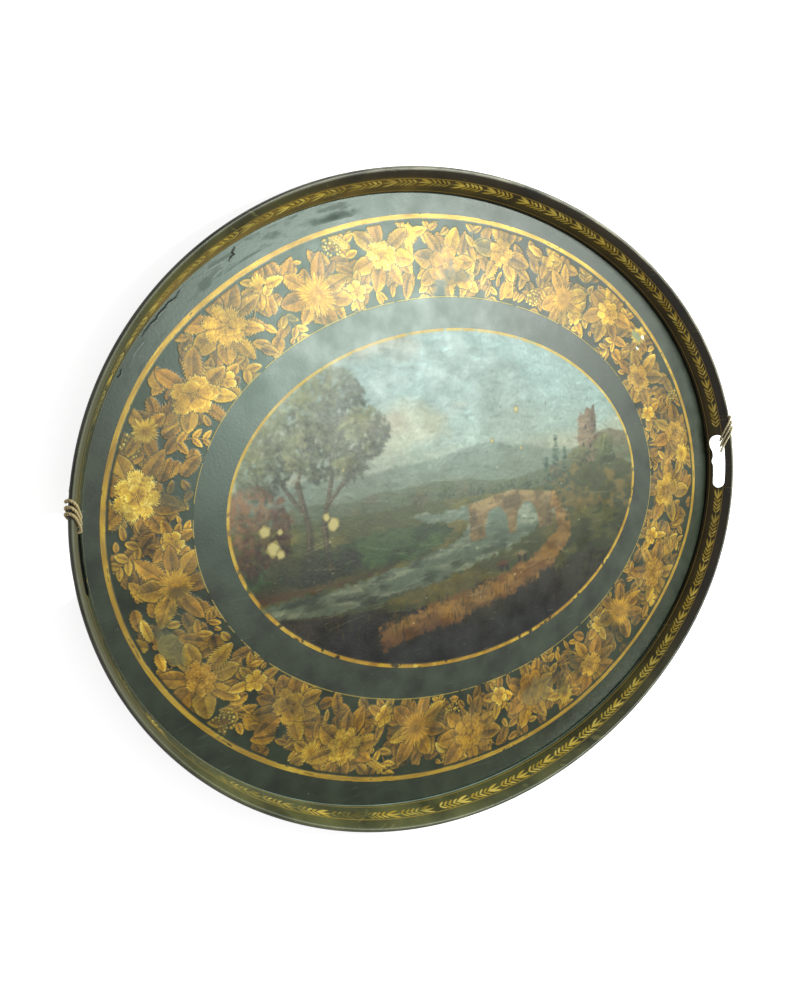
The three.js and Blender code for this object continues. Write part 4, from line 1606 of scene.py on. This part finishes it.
scuff_angles = np.linspace(SCUFF_START, SCUFF_END, 100)
SCUFF_LENGTH = run_length(on_tray(scuff_angles, np.full(100, -9.0), np.full(100, 0.0)))
scuffs = paint_scuffs()
paint_skin("cracked_ground", scuffs, 0, scuffs.columns, scuff_place(PAINT_TOP), scuff_place(PAINT_UNDER),
           cracked_paint())

# %% [markdown]
# ## The garland on the gallery
# Inside, the gallery carries a garland between two thin gold lines: sprigs of four pairs of slim leaves,
# each closed by three longer ones. The wall is rolled out too, so the garland is painted on a long low
# canvas and bent onto the wall. It stops short of the hand-holds and of the lap seams, which gives four
# skins. At the left the gilding has faded most.

# %% Paint the garland
WALL_HEIGHT = run_length(wall_point(np.linspace(0, 1, 50)))
SPRIG = 33.0


def paint_sprig_leaf(canvas, x, y, turn, length, width, tone):
    """One slim leaf in a single touch of the brush."""
    bulge = 0.03 * length * math.copysign(1, turn)
    line = curve_between((x, y), ahead_of(x, y, turn, length), bulge)
    paint_stroke(canvas, line, width, gold(tone, -0.8))


def paint_sprig(canvas, x, axis, rng):
    """Four pairs of small leaves, a longer pair and the leaf that closes the sprig."""
    for n in range(4):
        for hand in (1, -1):
            turn = hand * rng.uniform(0.5, 0.66)
            length = rng.uniform(6.5, 7.6)
            paint_sprig_leaf(canvas, x + n * 4.7, axis, turn, length, 1.8, rng.uniform(0.8, 1.0))
    for hand in (1, -1):
        paint_sprig_leaf(canvas, x + 18.5, axis, hand * 0.3, 13, 2.4, rng.uniform(0.8, 1.0))
    paint_sprig_leaf(canvas, x + 20, axis, 0, 12, 1.8, 0.95)


def paint_garland(length, seed, fade, bare):
    rng = np.random.default_rng(seed)
    canvas = Canvas(length, WALL_HEIGHT, WALL_HEIGHT / (36))
    axis = 0.47 * WALL_HEIGHT
    count = round(length / SPRIG)
    pitch = length / count
    for k in range(count):
        x = (k + 0.02) * pitch
        line = curve_between((x, axis), (x + pitch, axis), rng.uniform(-0.5, 0.5))
        paint_stroke(canvas, line, 0.8, gold(0.6, -0.6), 0.8)
        paint_sprig(canvas, x, axis, rng)
    where, x, y = canvas.everywhere()
    canvas.cover[where] *= 1 - fade * np.clip((clouds(x, y, 22, seed + 5, 4) - 0.35) / 0.3, 0, 1)
    if bare:
        from_hold = x if bare == "first" else length - x
        canvas.cover[where] *= np.clip((from_hold - 50) / 60, 0.08, 1)
    return canvas

# %% [markdown]
# ### Bending the garland onto the wall
# The canvas is carried along the wall's curve and set off by a hair's breadth, so it never sinks into the
# metal. Each of the four stretches has its own seed and its own fading.

# %% Lay the garland
def on_wall(start, end, length, lift):
    """Bends a rolled-out canvas onto the inner face of the wall, lift proud of the sheet's middle."""

    def place(x, y):
        share = np.clip(y / WALL_HEIGHT, 0, 1)
        middle = wall_point(share)
        ahead = wall_point(np.minimum(share + 0.01, 1.01)) - middle
        ahead /= np.linalg.norm(ahead, axis=1)[:, None]
        out = middle[:, 0] - ahead[:, 1] * lift
        height = middle[:, 1] + ahead[:, 0] * lift
        return on_tray(start + (end - start) * x / length, out, height)

    return place


garland_finish = painted_wall("gilding_on_gallery", gilded=True)
BARE_BESIDE_SLOT = 34
SLOT_HALF_ANGLE = math.asin(BARE_BESIDE_SLOT / (FLOOR_WIDTH / 2))
SEAM_MARGIN = 3 / (TRAY_LENGTH / 2)
stretches = (
    (LAP_ANGLE + SEAM_MARGIN, -SLOT_HALF_ANGLE, 0.3, None),
    (SLOT_HALF_ANGLE, LAP_ANGLE + math.pi - SEAM_MARGIN, 0.2, None),
    (LAP_ANGLE + math.pi + SEAM_MARGIN, math.pi - SLOT_HALF_ANGLE, 0.6, "last"),
    (math.pi + SLOT_HALF_ANGLE, LAP_ANGLE + 2 * math.pi - SEAM_MARGIN, 0.9, "first"),
)
for number, (start, end, fade, bare) in enumerate(stretches):
    length = run_length(on_tray(np.linspace(start, end, 200), np.full(200, 5.0), np.full(200, 14.0)))
    garland = paint_garland(length, 60 + number, fade, bare)
    top = on_wall(start, end, length, SHEET / 2 + 0.05)
    under = on_wall(start, end, length, SHEET / 2 - 0.03)
    paint_skin(f"garland_{number + 1}", garland, 0, garland.columns, top, under, garland_finish,
               curved=True)

# %% [markdown]
# ## The landscape in the middle
# The picture is painted in oils: pale sky, grey-green trees, brown banks and teal water. It is a landscape
# of this lesson's own, built up as a painter would: sky first, then hills, water, the bridge and the tower,
# the trees, and the dark foreground last. Its colours and the size of its brush strokes are those of old
# tray painting. Flat shapes get soft ragged edges from random clouds, and foliage is made of many small
# dabs.

# %% Tools for the landscape
PICTURE_INSET = 98.8
HALF_WIDTH, HALF_HEIGHT = OUTER_OVAL - PICTURE_INSET
PICTURE_STEP = 0.9


class Landscape(Canvas):
    """A canvas whose places are counted from its middle."""

    def near(self, x, y, reach):
        return super().near(x + self.width / 2, y + self.height / 2, reach)

    def spots(self):
        where, x, y = self.everywhere()
        return where, x - self.width / 2, y - self.height / 2


def between(low, high, value):
    """Rises smoothly from 0 at low to 1 at high."""
    share = np.clip((value - low) / (high - low), 0, 1)
    return share * share * (3 - 2 * share)


def wash(canvas, mask, code, amount=1.0):
    where, _, _ = canvas.spots()
    canvas.lay(where, screen(code), mask * amount)


def shape_mask(x, y, outline, soft=1.2, ragged=0.0, seed=1):
    """1 inside a closed outline and 0 outside, with a soft or ragged edge."""
    if ragged:
        x = x + ragged * (clouds(x, y, 5.0, seed, 3) - 0.5)
        y = y + ragged * (clouds(x, y, 5.0, seed + 7, 3) - 0.5)
    x, y = np.broadcast_arrays(x, y)
    inside = np.zeros(x.shape, bool)
    nearest = np.full(x.shape, 1e9)
    for (x0, y0), (x1, y1) in zip(outline, outline[1:] + outline[:1]):
        if y0 != y1:
            crosses = ((y0 > y) != (y1 > y)) & (x < (x1 - x0) * (y - y0) / (y1 - y0) + x0)
            inside ^= crosses
        length = (x1 - x0) ** 2 + (y1 - y0) ** 2
        share = np.clip(((x - x0) * (x1 - x0) + (y - y0) * (y1 - y0)) / length, 0, 1)
        nearest = np.minimum(nearest, np.hypot(x - x0 - share * (x1 - x0), y - y0 - share * (y1 - y0)))
    return edge(np.where(inside, nearest, -nearest), soft)

# %% [markdown]
# ### Dabs, foliage and trunks
# Leaves and grass are dabs of a small brush. A crown of leaves takes some hundreds of them, dark at the
# lower right and light at the upper left.

# %% Dabs and trees
def dab(canvas, x, y, length, width, turn, colour, amount):
    where, u, v = canvas.near(x, y, length)
    if 0 in u.shape or 0 in v.shape:
        return
    c, s = math.cos(turn), math.sin(turn)
    away = np.hypot((u * c + v * s) / length, (v * c - u * s) / width)
    canvas.lay(where, colour, amount * np.clip((1 - away) * 2.2, 0, 1))


def foliage(canvas, x, y, wide, high, codes, count, rng, size=3.0, amount=0.7):
    """A crown of leaves: dabs from dark at the lower right to light at the upper left."""
    colours = [screen(code) for code in codes]
    for k in range(count):
        away, angle = math.sqrt(rng.random()), rng.uniform(0, 2 * math.pi)
        along, up = away * math.cos(angle), away * math.sin(angle)
        light = 0.5 + 0.32 * (up - along) + rng.uniform(-0.22, 0.22) + 0.25 * (k / count - 0.5)
        tone = float(np.clip(light, 0, 0.999)) * len(colours)
        colour = colours[int(tone)] * rng.uniform(0.92, 1.08)
        long, thin = size * rng.uniform(0.7, 1.6), size * rng.uniform(0.35, 0.7)
        turn, strength = rng.uniform(0, 3.14), amount * rng.uniform(0.5, 1)
        dab(canvas, x + along * wide, y + up * high, long, thin, turn, colour, strength)


def trunk(canvas, places, width, code, light):
    """A stem that grows thinner upwards, with a light stroke on its left side."""
    stem = np.asarray(places, float)
    widths = np.linspace(width, width * 0.35, len(stem) - 1)
    for start, end, wide in zip(stem, stem[1:], widths):
        line = np.array([start, (start + end) / 2, end])
        paint_stroke(canvas, line, wide * 1.5, screen(code), 0.9)
        paint_stroke(canvas, line + [-wide * 0.22, 0.2], wide * 0.5, screen(light), 0.6)


# %% [markdown]
# ### Sky, hills and water
# The far things come first and are the palest. Their edges are lost in haze. Every area of ground or water is
# dappled: one colour all over, then cloudy patches of a second colour.

# %% Paint the far parts
rng = np.random.default_rng(5)
picture = Landscape(2 * HALF_WIDTH, 2 * HALF_HEIGHT, PICTURE_STEP)
spots, x, y = picture.spots()
picture.cover[:] = 1
picture.colour[:] = screen("#a3b5aa")


def dappled(mask, base, light, amount, lumps, seed, octaves, rise, squeeze=1, stretch=1, strength=1.0):
    """An area in one colour with cloudy patches of a lighter one; rise says where the patches set in."""
    wash(picture, mask, base, strength)
    patches = between(*rise, clouds(x / squeeze, y * stretch, lumps, seed, octaves))
    wash(picture, mask * patches, light, amount)


wash(picture, between(10, 110, y), "#9bb9bd", 0.9)
billow = clouds(x + 900, y * 2.1 + 900, 95, 11, 5)
wash(picture, between(0.5, 0.72, billow) * between(-10, 60, y), "#c3c7b1", 0.8)
rosy = clouds(x + 400, y * 2.4 + 700, 80, 17, 4)
wash(picture, between(0.58, 0.8, rosy) * between(-20, 30, y), "#b8a087", 0.45)
wash(picture, between(60, -10, y), "#b9b49a", 0.7)
ridge = 22 + 16 * clouds(x + 700, 0, 90, 23, 4) + 18 * np.exp(-(((x - 40) / 70) ** 2))
wash(picture, edge(ridge - y, 3.0), "#76897f", 0.8)
nearer = 2 + 22 * clouds(x + 300, 0, 70, 29, 4) + 30 * between(60, 230, x)
dappled(edge(nearer - y, 2.0), "#66735c", "#7d6c54", 0.7, 24, 37, 4, (0.45, 0.7), strength=0.9)
for k in range(70):
    foliage(picture, rng.uniform(-80, 235), rng.uniform(-4, 6), rng.uniform(5, 11), rng.uniform(3, 8),
            ("#38483a", "#4e5e48", "#6c7858"), 16, rng, 2.2, 0.6)
plain = edge(-2 + 3 * (clouds(x, y, 30, 41, 3) - 0.5) - y, 2.0)
dappled(plain, "#5a6440", "#8f8549", 0.8, 40, 43, 4, (0.4, 0.7), stretch=3)
river_line = [
    (-60, -12), (30, -9), (120, -14), (238, -12), (240, -24), (150, -28), (95, -42), (60, -56), (-20, -72),
    (-120, -82), (-238, -80), (-238, -64), (-150, -62), (-60, -52), (-5, -40), (10, -24), (-40, -19),
]
water = shape_mask(x, y, river_line, 2.0, 9, 3)
dappled(water, "#7c9088", "#bccbc0", 0.8, 5, 47, 3, (0.45, 0.75), squeeze=5)
shadow = between(0.45, 0.75, clouds(x / 3 + 50, y, 6, 53, 3)) * between(-20, -70, y)
wash(picture, water * shadow, "#3c4a40", 0.75)

# %% [markdown]
# ### Tower, bridge and banks
# A ruined round tower stands on a knoll at the right, and a stone bridge of two arches crosses the river.
# The light comes from the upper left, so the tower's right side is dark, as are the trees at their lower
# right.

# %% Paint the middle distance
knoll_line = [
    (108, -16), (128, 2), (150, 16), (176, 22), (205, 18), (236, 6), (240, -40), (180, -34), (130, -28),
]
knoll = shape_mask(x, y, knoll_line, 2.0, 8, 9)
dappled(knoll, "#50573a", "#8f7b48", 0.75, 12, 59, 3, (0.45, 0.7))
tower_line = [
    (158, 14), (159, 58), (163, 66), (168, 61), (173, 70), (180, 66), (184, 72), (186, 60), (187, 14),
]
tower = shape_mask(x, y, tower_line, 1.2, 4, 13)
wash(picture, tower, "#8d7b66")
wash(picture, tower * between(168, 188, x), "#4b4238", 0.85)
wash(picture, tower * between(0.5, 0.75, clouds(x, y * 2, 6, 61, 3)), "#b29c80", 0.5)
wash(picture, tower * (np.abs((y + 3 * clouds(x, y, 9, 67, 2)) % 6 - 3) < 0.5), "#5f5345", 0.4)
for window_x, window_y in ((170, 50), (176, 30), (166, 32)):
    dab(picture, window_x, window_y, 3.2, 1.6, 1.57, screen("#2f2a24"), 0.9)
foliage(picture, 160, 22, 16, 10, ("#3e4630", "#5a6442", "#808259"), 150, rng, 2.6)
foliage(picture, 196, 24, 18, 16, ("#39412f", "#56603f", "#7b7f55"), 200, rng, 2.8)
for tip_x, tip_y, wide in ((126, 44, 11), (138, 32, 8), (112, 24, 7)):
    for k in range(60):
        fall = rng.random()
        leaf_x, leaf_y = tip_x + rng.uniform(-1, 1) * wide * fall, tip_y - fall * (tip_y + 12)
        green = screen(("#3d5a4c", "#4f6f5c", "#2f463b")[k % 3])
        dab(picture, leaf_x, leaf_y, 3.0, 1.3, rng.uniform(-0.6, 0.6), green, 0.7)
bridge_top = -9 + 7 * np.exp(-(((x - 62) / 34) ** 2))
bridge_foot = y + 42 + 2 * clouds(x, y, 8, 71, 2)
bridge = (edge(x - 8, 2) * edge(116 - x, 2)) * edge(bridge_top - y, 1.2) * edge(bridge_foot, 1.2)
for middle, wide in ((42, 15), (82, 15)):
    opening = edge(1 - np.hypot((x - middle) / wide, (y + 38) / 23), 0.08)
    bridge = bridge * (1 - opening)
dappled(bridge, "#94815f", "#bba580", 0.7, 7, 73, 3, (0.45, 0.7), stretch=2)
wash(picture, bridge * edge(y - bridge_top + 5, 1.5), "#bda679", 0.7)
wash(picture, bridge * between(0.5, 0.7, clouds(x, y, 14, 79, 4)), "#4d4433", 0.5)
bank_line = [
    (-238, -40), (-170, -28), (-110, -22), (-50, -18), (-12, -26), (-30, -42), (-90, -54), (-160, -60),
    (-238, -62),
]
bank = shape_mask(x, y, bank_line, 2.0, 10, 17)
dappled(bank, "#3c5230", "#557a4c", 0.75, 16, 83, 4, (0.4, 0.65), stretch=2)
wash(picture, bank * between(-44, -62, y), "#7a4c26", 0.8)

# %% [markdown]
# ### Trees and foreground
# The tall trees at the left and the dark banks in front frame the view. A sandy path winds from the bridge
# to the lower left, with grasses in front of it and two cows beside it.

# %% Paint the near parts
for places, width in (
    ([(-168, -52), (-164, -10), (-172, 30), (-160, 70)], 6.0),
    ([(-146, -50), (-150, -5), (-138, 34), (-142, 80)], 5.0),
    ([(-164, -2), (-186, 30), (-198, 60)], 3.0),
    ([(-147, 8), (-118, 36), (-104, 66)], 3.0),
    ([(-140, 40), (-126, 70), (-124, 96)], 2.2),
):
    trunk(picture, places, width, "#4a4032", "#8f8062")
for cx, cy, wide, high, count in (
    (-176, 72, 42, 30, 520), (-136, 96, 36, 28, 460), (-104, 66, 28, 22, 300), (-204, 44, 26, 24, 260),
    (-150, 52, 34, 22, 260), (-120, 40, 18, 12, 110),
):
    foliage(picture, cx, cy, wide, high, ("#2c3124", "#474d3a", "#6e7456", "#979b74"), count, rng, 4.0, 0.62)
foliage(picture, -215, -4, 34, 36, ("#40291d", "#6b4a36", "#a07a5c"), 420, rng, 4.2, 0.6)
foliage(picture, -160, -40, 46, 14, ("#26281c", "#383b27", "#525136"), 380, rng, 3.4, 0.7)
front_edge = -78 - 16 * np.exp(-(((x + 60) / 90) ** 2)) + 14 * (clouds(x + 60, 0, 40, 89, 4) - 0.5)
front = edge(front_edge - y, 2.5)
dappled(front, "#33291c", "#42402a", 0.8, 20, 97, 4, (0.45, 0.7), stretch=1.6)
wash(picture, front * between(-95, -140, y), "#26272b", 0.85)
meadow_line = [(124, -34), (160, -36), (238, -38), (238, -100), (170, -112), (120, -92), (104, -62)]
meadow = shape_mask(x, y, meadow_line, 2.5, 12, 25)
dappled(meadow, "#46512c", "#7e7f42", 0.7, 18, 103, 4, (0.4, 0.7), stretch=2)
path_line = [
    (113, -12), (117, -30), (123, -48), (98, -66), (40, -82), (-30, -92), (-104, -104), (-98, -122),
    (-20, -114), (58, -101), (116, -82), (141, -56), (134, -32), (124, -12),
]
path = shape_mask(x, y, path_line, 3.0, 12, 21)
dappled(path, "#9d7640", "#d0a869", 0.8, 7, 101, 3, (0.4, 0.65), squeeze=2, strength=0.95)
wash(picture, path * between(-100, -122, y), "#6b4520", 0.7)
foliage(picture, 168, -96, 52, 20, ("#1f2018", "#30321f", "#48472c"), 560, rng, 4.0, 0.75)
foliage(picture, -170, -104, 62, 22, ("#1d1a15", "#2c261f", "#463b2e"), 620, rng, 4.0, 0.75)
foliage(picture, 10, -136, 110, 14, ("#1a1b1f", "#25272e", "#3a3d45"), 500, rng, 4.5, 0.7)
for k in range(260):
    foot = np.array([rng.uniform(-190, 190), rng.uniform(-118, -88)])
    tip = foot + [rng.uniform(-2, 2), rng.uniform(4, 8)]
    paint_stroke(picture, [foot, tip], 0.9, screen(("#5a5129", "#2b291b", "#786a38")[k % 3]), 0.7)
for cow_x, cow_y, code in ((48, -70, "#7a4c2c"), (72, -64, "#a3967a")):
    dab(picture, cow_x, cow_y, 7.5, 3.6, 0.05, screen(code), 1)
    dab(picture, cow_x - 8, cow_y + 0.5, 2.8, 1.8, 0.6, screen(code), 1)
    for leg in (-4.5, -2.5, 3, 5):
        leg_line = [(cow_x + leg, cow_y - 2), (cow_x + leg, cow_y - 7)]
        paint_stroke(picture, leg_line, 1.6, screen("#3b2c20"), 0.9)

# %% [markdown]
# ### Age
# Two hundred years have dulled the picture: old varnish has browned it, most of all below, and there are
# fine scratches, flakes that show the pale priming and a few dark pits. The gold line round the picture is
# broken and darkened in the same way.

# %% Age the picture
CHIPS = (
    (-141, -7, 6.5), (-206, -4, 6), (-199, -19, 7.5), (-193, -24, 4.5), (75, 74, 3.4), (42, 47, 2.4),
    (79, 37, 1.8), (-127, 37, 1.6), (-192, -6, 3), (-147, 0, 4),
)
wash(picture, between(0.35, 0.8, clouds(x + 50, y + 20, 60, 107, 4)), "#5f5c47", 0.25)
for k in range(3200):
    spot_x, spot_y = rng.uniform(-0.97, 0.97) * HALF_WIDTH, rng.uniform(-0.97, 0.97) * HALF_HEIGHT
    i = round((spot_x + HALF_WIDTH) / picture.step_x)
    j = round((spot_y + HALF_HEIGHT) / picture.step_y)
    dab(picture, spot_x + rng.uniform(-2, 2), spot_y, rng.uniform(3, 9), rng.uniform(0.8, 2),
        rng.normal(0, 0.35), picture.colour[i, j] * rng.uniform(0.8, 1.2), 0.5)
lower = between(50, -80, y)[..., None]
picture.colour *= np.array([0.97, 0.95, 0.92]) * (1 - lower * [0.3, 0.33, 0.4])
picture.colour = np.clip(0.4 + (1 + 0.22 * lower) * (picture.colour - 0.4), 0, 1)
grain = 1 + 0.16 * (clouds(x, y, 2.2, 109, 2) - 0.5) + 0.16 * (clouds(x / 2, y * 2, 9, 113, 4) - 0.5)
picture.colour *= grain[..., None]
for k in range(60):
    start = np.array([rng.uniform(-200, 200), rng.uniform(-120, 120)])
    end = start + rng.uniform(8, 40) * np.array([1, rng.uniform(-0.25, 0.25)])
    paint_stroke(picture, [start, (start + end) / 2 + rng.uniform(-1, 1), end], 0.7, screen("#b9bfae"), 0.35)
for chip_x, chip_y, size in CHIPS:
    for ring, code, amount in ((1.15, "#2e281e", 0.4), (1.0, "#9c8b4e", 0.9), (0.75, "#cdbb78", 0.85)):
        outline = [
            ahead_of(chip_x, chip_y, angle, ring * size * rng.uniform(0.8, 1.05))
            for angle in np.linspace(0, 2 * math.pi, 15)[:-1]
        ]
        wash(picture, shape_mask(x, y, outline, 0.9, size / 4, 3), code, amount)
for k in range(46):
    dab(picture, rng.uniform(-210, 210), rng.uniform(-120, 120), rng.uniform(0.8, 1.8),
        rng.uniform(0.6, 1.2), 0, screen(("#2b2a24", "#c8bd98")[k % 3 == 0]), 0.8)
level = np.maximum(np.hypot(x / HALF_WIDTH, y / HALF_HEIGHT), 0.01)
inside = (1 - level) * level / np.hypot(x / HALF_WIDTH**2, y / HALF_HEIGHT**2).clip(1e-9)
lower = between(60, -100, y)
ring_tone = 0.86 - 0.14 * lower + (0.3 + 0.5 * lower) * (clouds(x, y, 11, 127, 4) - 0.5)
broken = 0.95 - 0.7 * between(0.66, 0.74, clouds(x, y, 7, 131, 3))
picture.lay(spots, gold(ring_tone, 0.1), edge(2.4 + 0.9 * lower - inside, 0.8) * broken, 1.0)
picture.lay(spots, screen("#3a3226"), edge(0.6 - np.abs(inside - 3.8), 0.8) * 0.4 * lower)

# %% [markdown]
# ### Laying the picture
# The picture's skin is a square grid bent into the oval, with no waste at the corners. Its points no longer
# lie where the canvas has them, so the colours are read again between the canvas's points.

# %% Lay the picture
def in_oval(x, y):
    """Bends a square grid into the picture's oval, with its rows and columns bowed towards the edge."""
    across = 2 * x / picture.width - 1
    above = 2 * y / picture.height - 1
    return np.column_stack(
        [across * np.sqrt(1 - above**2 / 2) * HALF_WIDTH, above * np.sqrt(1 - across**2 / 2) * HALF_HEIGHT]
    )


def on_floor(height):
    """The picture's place; its right end bulges as the border's does."""

    def place(x, y):
        spots = in_oval(x, y)
        share = np.clip(spots[:, 0] / HALF_WIDTH, 0, 1)
        spots[:, 0] += 3.0 * share**8
        return np.column_stack([PAINT_CENTRE + spots, np.full(len(x), height)])

    return place


def bowed(canvas):
    """The picture read where the bowed grid's points will lie."""
    _, x, y = canvas.everywhere()
    x, y = np.broadcast_arrays(x, y)
    spots = in_oval(x.ravel(), y.ravel()) + [HALF_WIDTH, HALF_HEIGHT]
    i, j = spots[:, 0] / canvas.step_x, spots[:, 1] / canvas.step_y
    i0, j0 = np.clip(i.astype(int), 0, canvas.columns - 1), np.clip(j.astype(int), 0, canvas.rows - 1)
    fx, fy = (i - i0)[:, None], (j - j0)[:, None]
    read = canvas.colour
    low = read[i0, j0] * (1 - fx) + read[i0 + 1, j0] * fx
    high = read[i0, j0 + 1] * (1 - fx) + read[i0 + 1, j0 + 1] * fx
    canvas.colour = (low * (1 - fy) + high * fy).reshape(read.shape)
    return canvas


def old_oil_paint():
    material, tree, shader = new_material("old_oil_paint")
    wear = place_wear(tree, scratches=0.1, flecks=0.25)
    colour, _ = painted(tree)
    scratched = mixed(tree, wear["Scratch Mask"], colour, "#a9ab94")
    fill_inputs(tree, shader, {
        "Base Color": mixed(tree, wear["Fleck Mask"], scratched, "#c9c1a0"),
        "Roughness": ranged(tree, wear["Bloom"], 0, 1, 0.32, 0.5),
        "Normal": dent_bump(tree, wear, grain_height=0.00008),
        "Specular IOR Level": 0.42,
    })
    return material


oil_finish = old_oil_paint()
bowed_picture = bowed(picture)
middle = picture.columns // 2
for name, first, last in (("picture_left_half", 0, middle), ("picture_right_half", middle, picture.columns)):
    paint_skin(name, bowed_picture, first, last, on_floor(PAINT_TOP), on_floor(PAINT_UNDER), oil_finish)
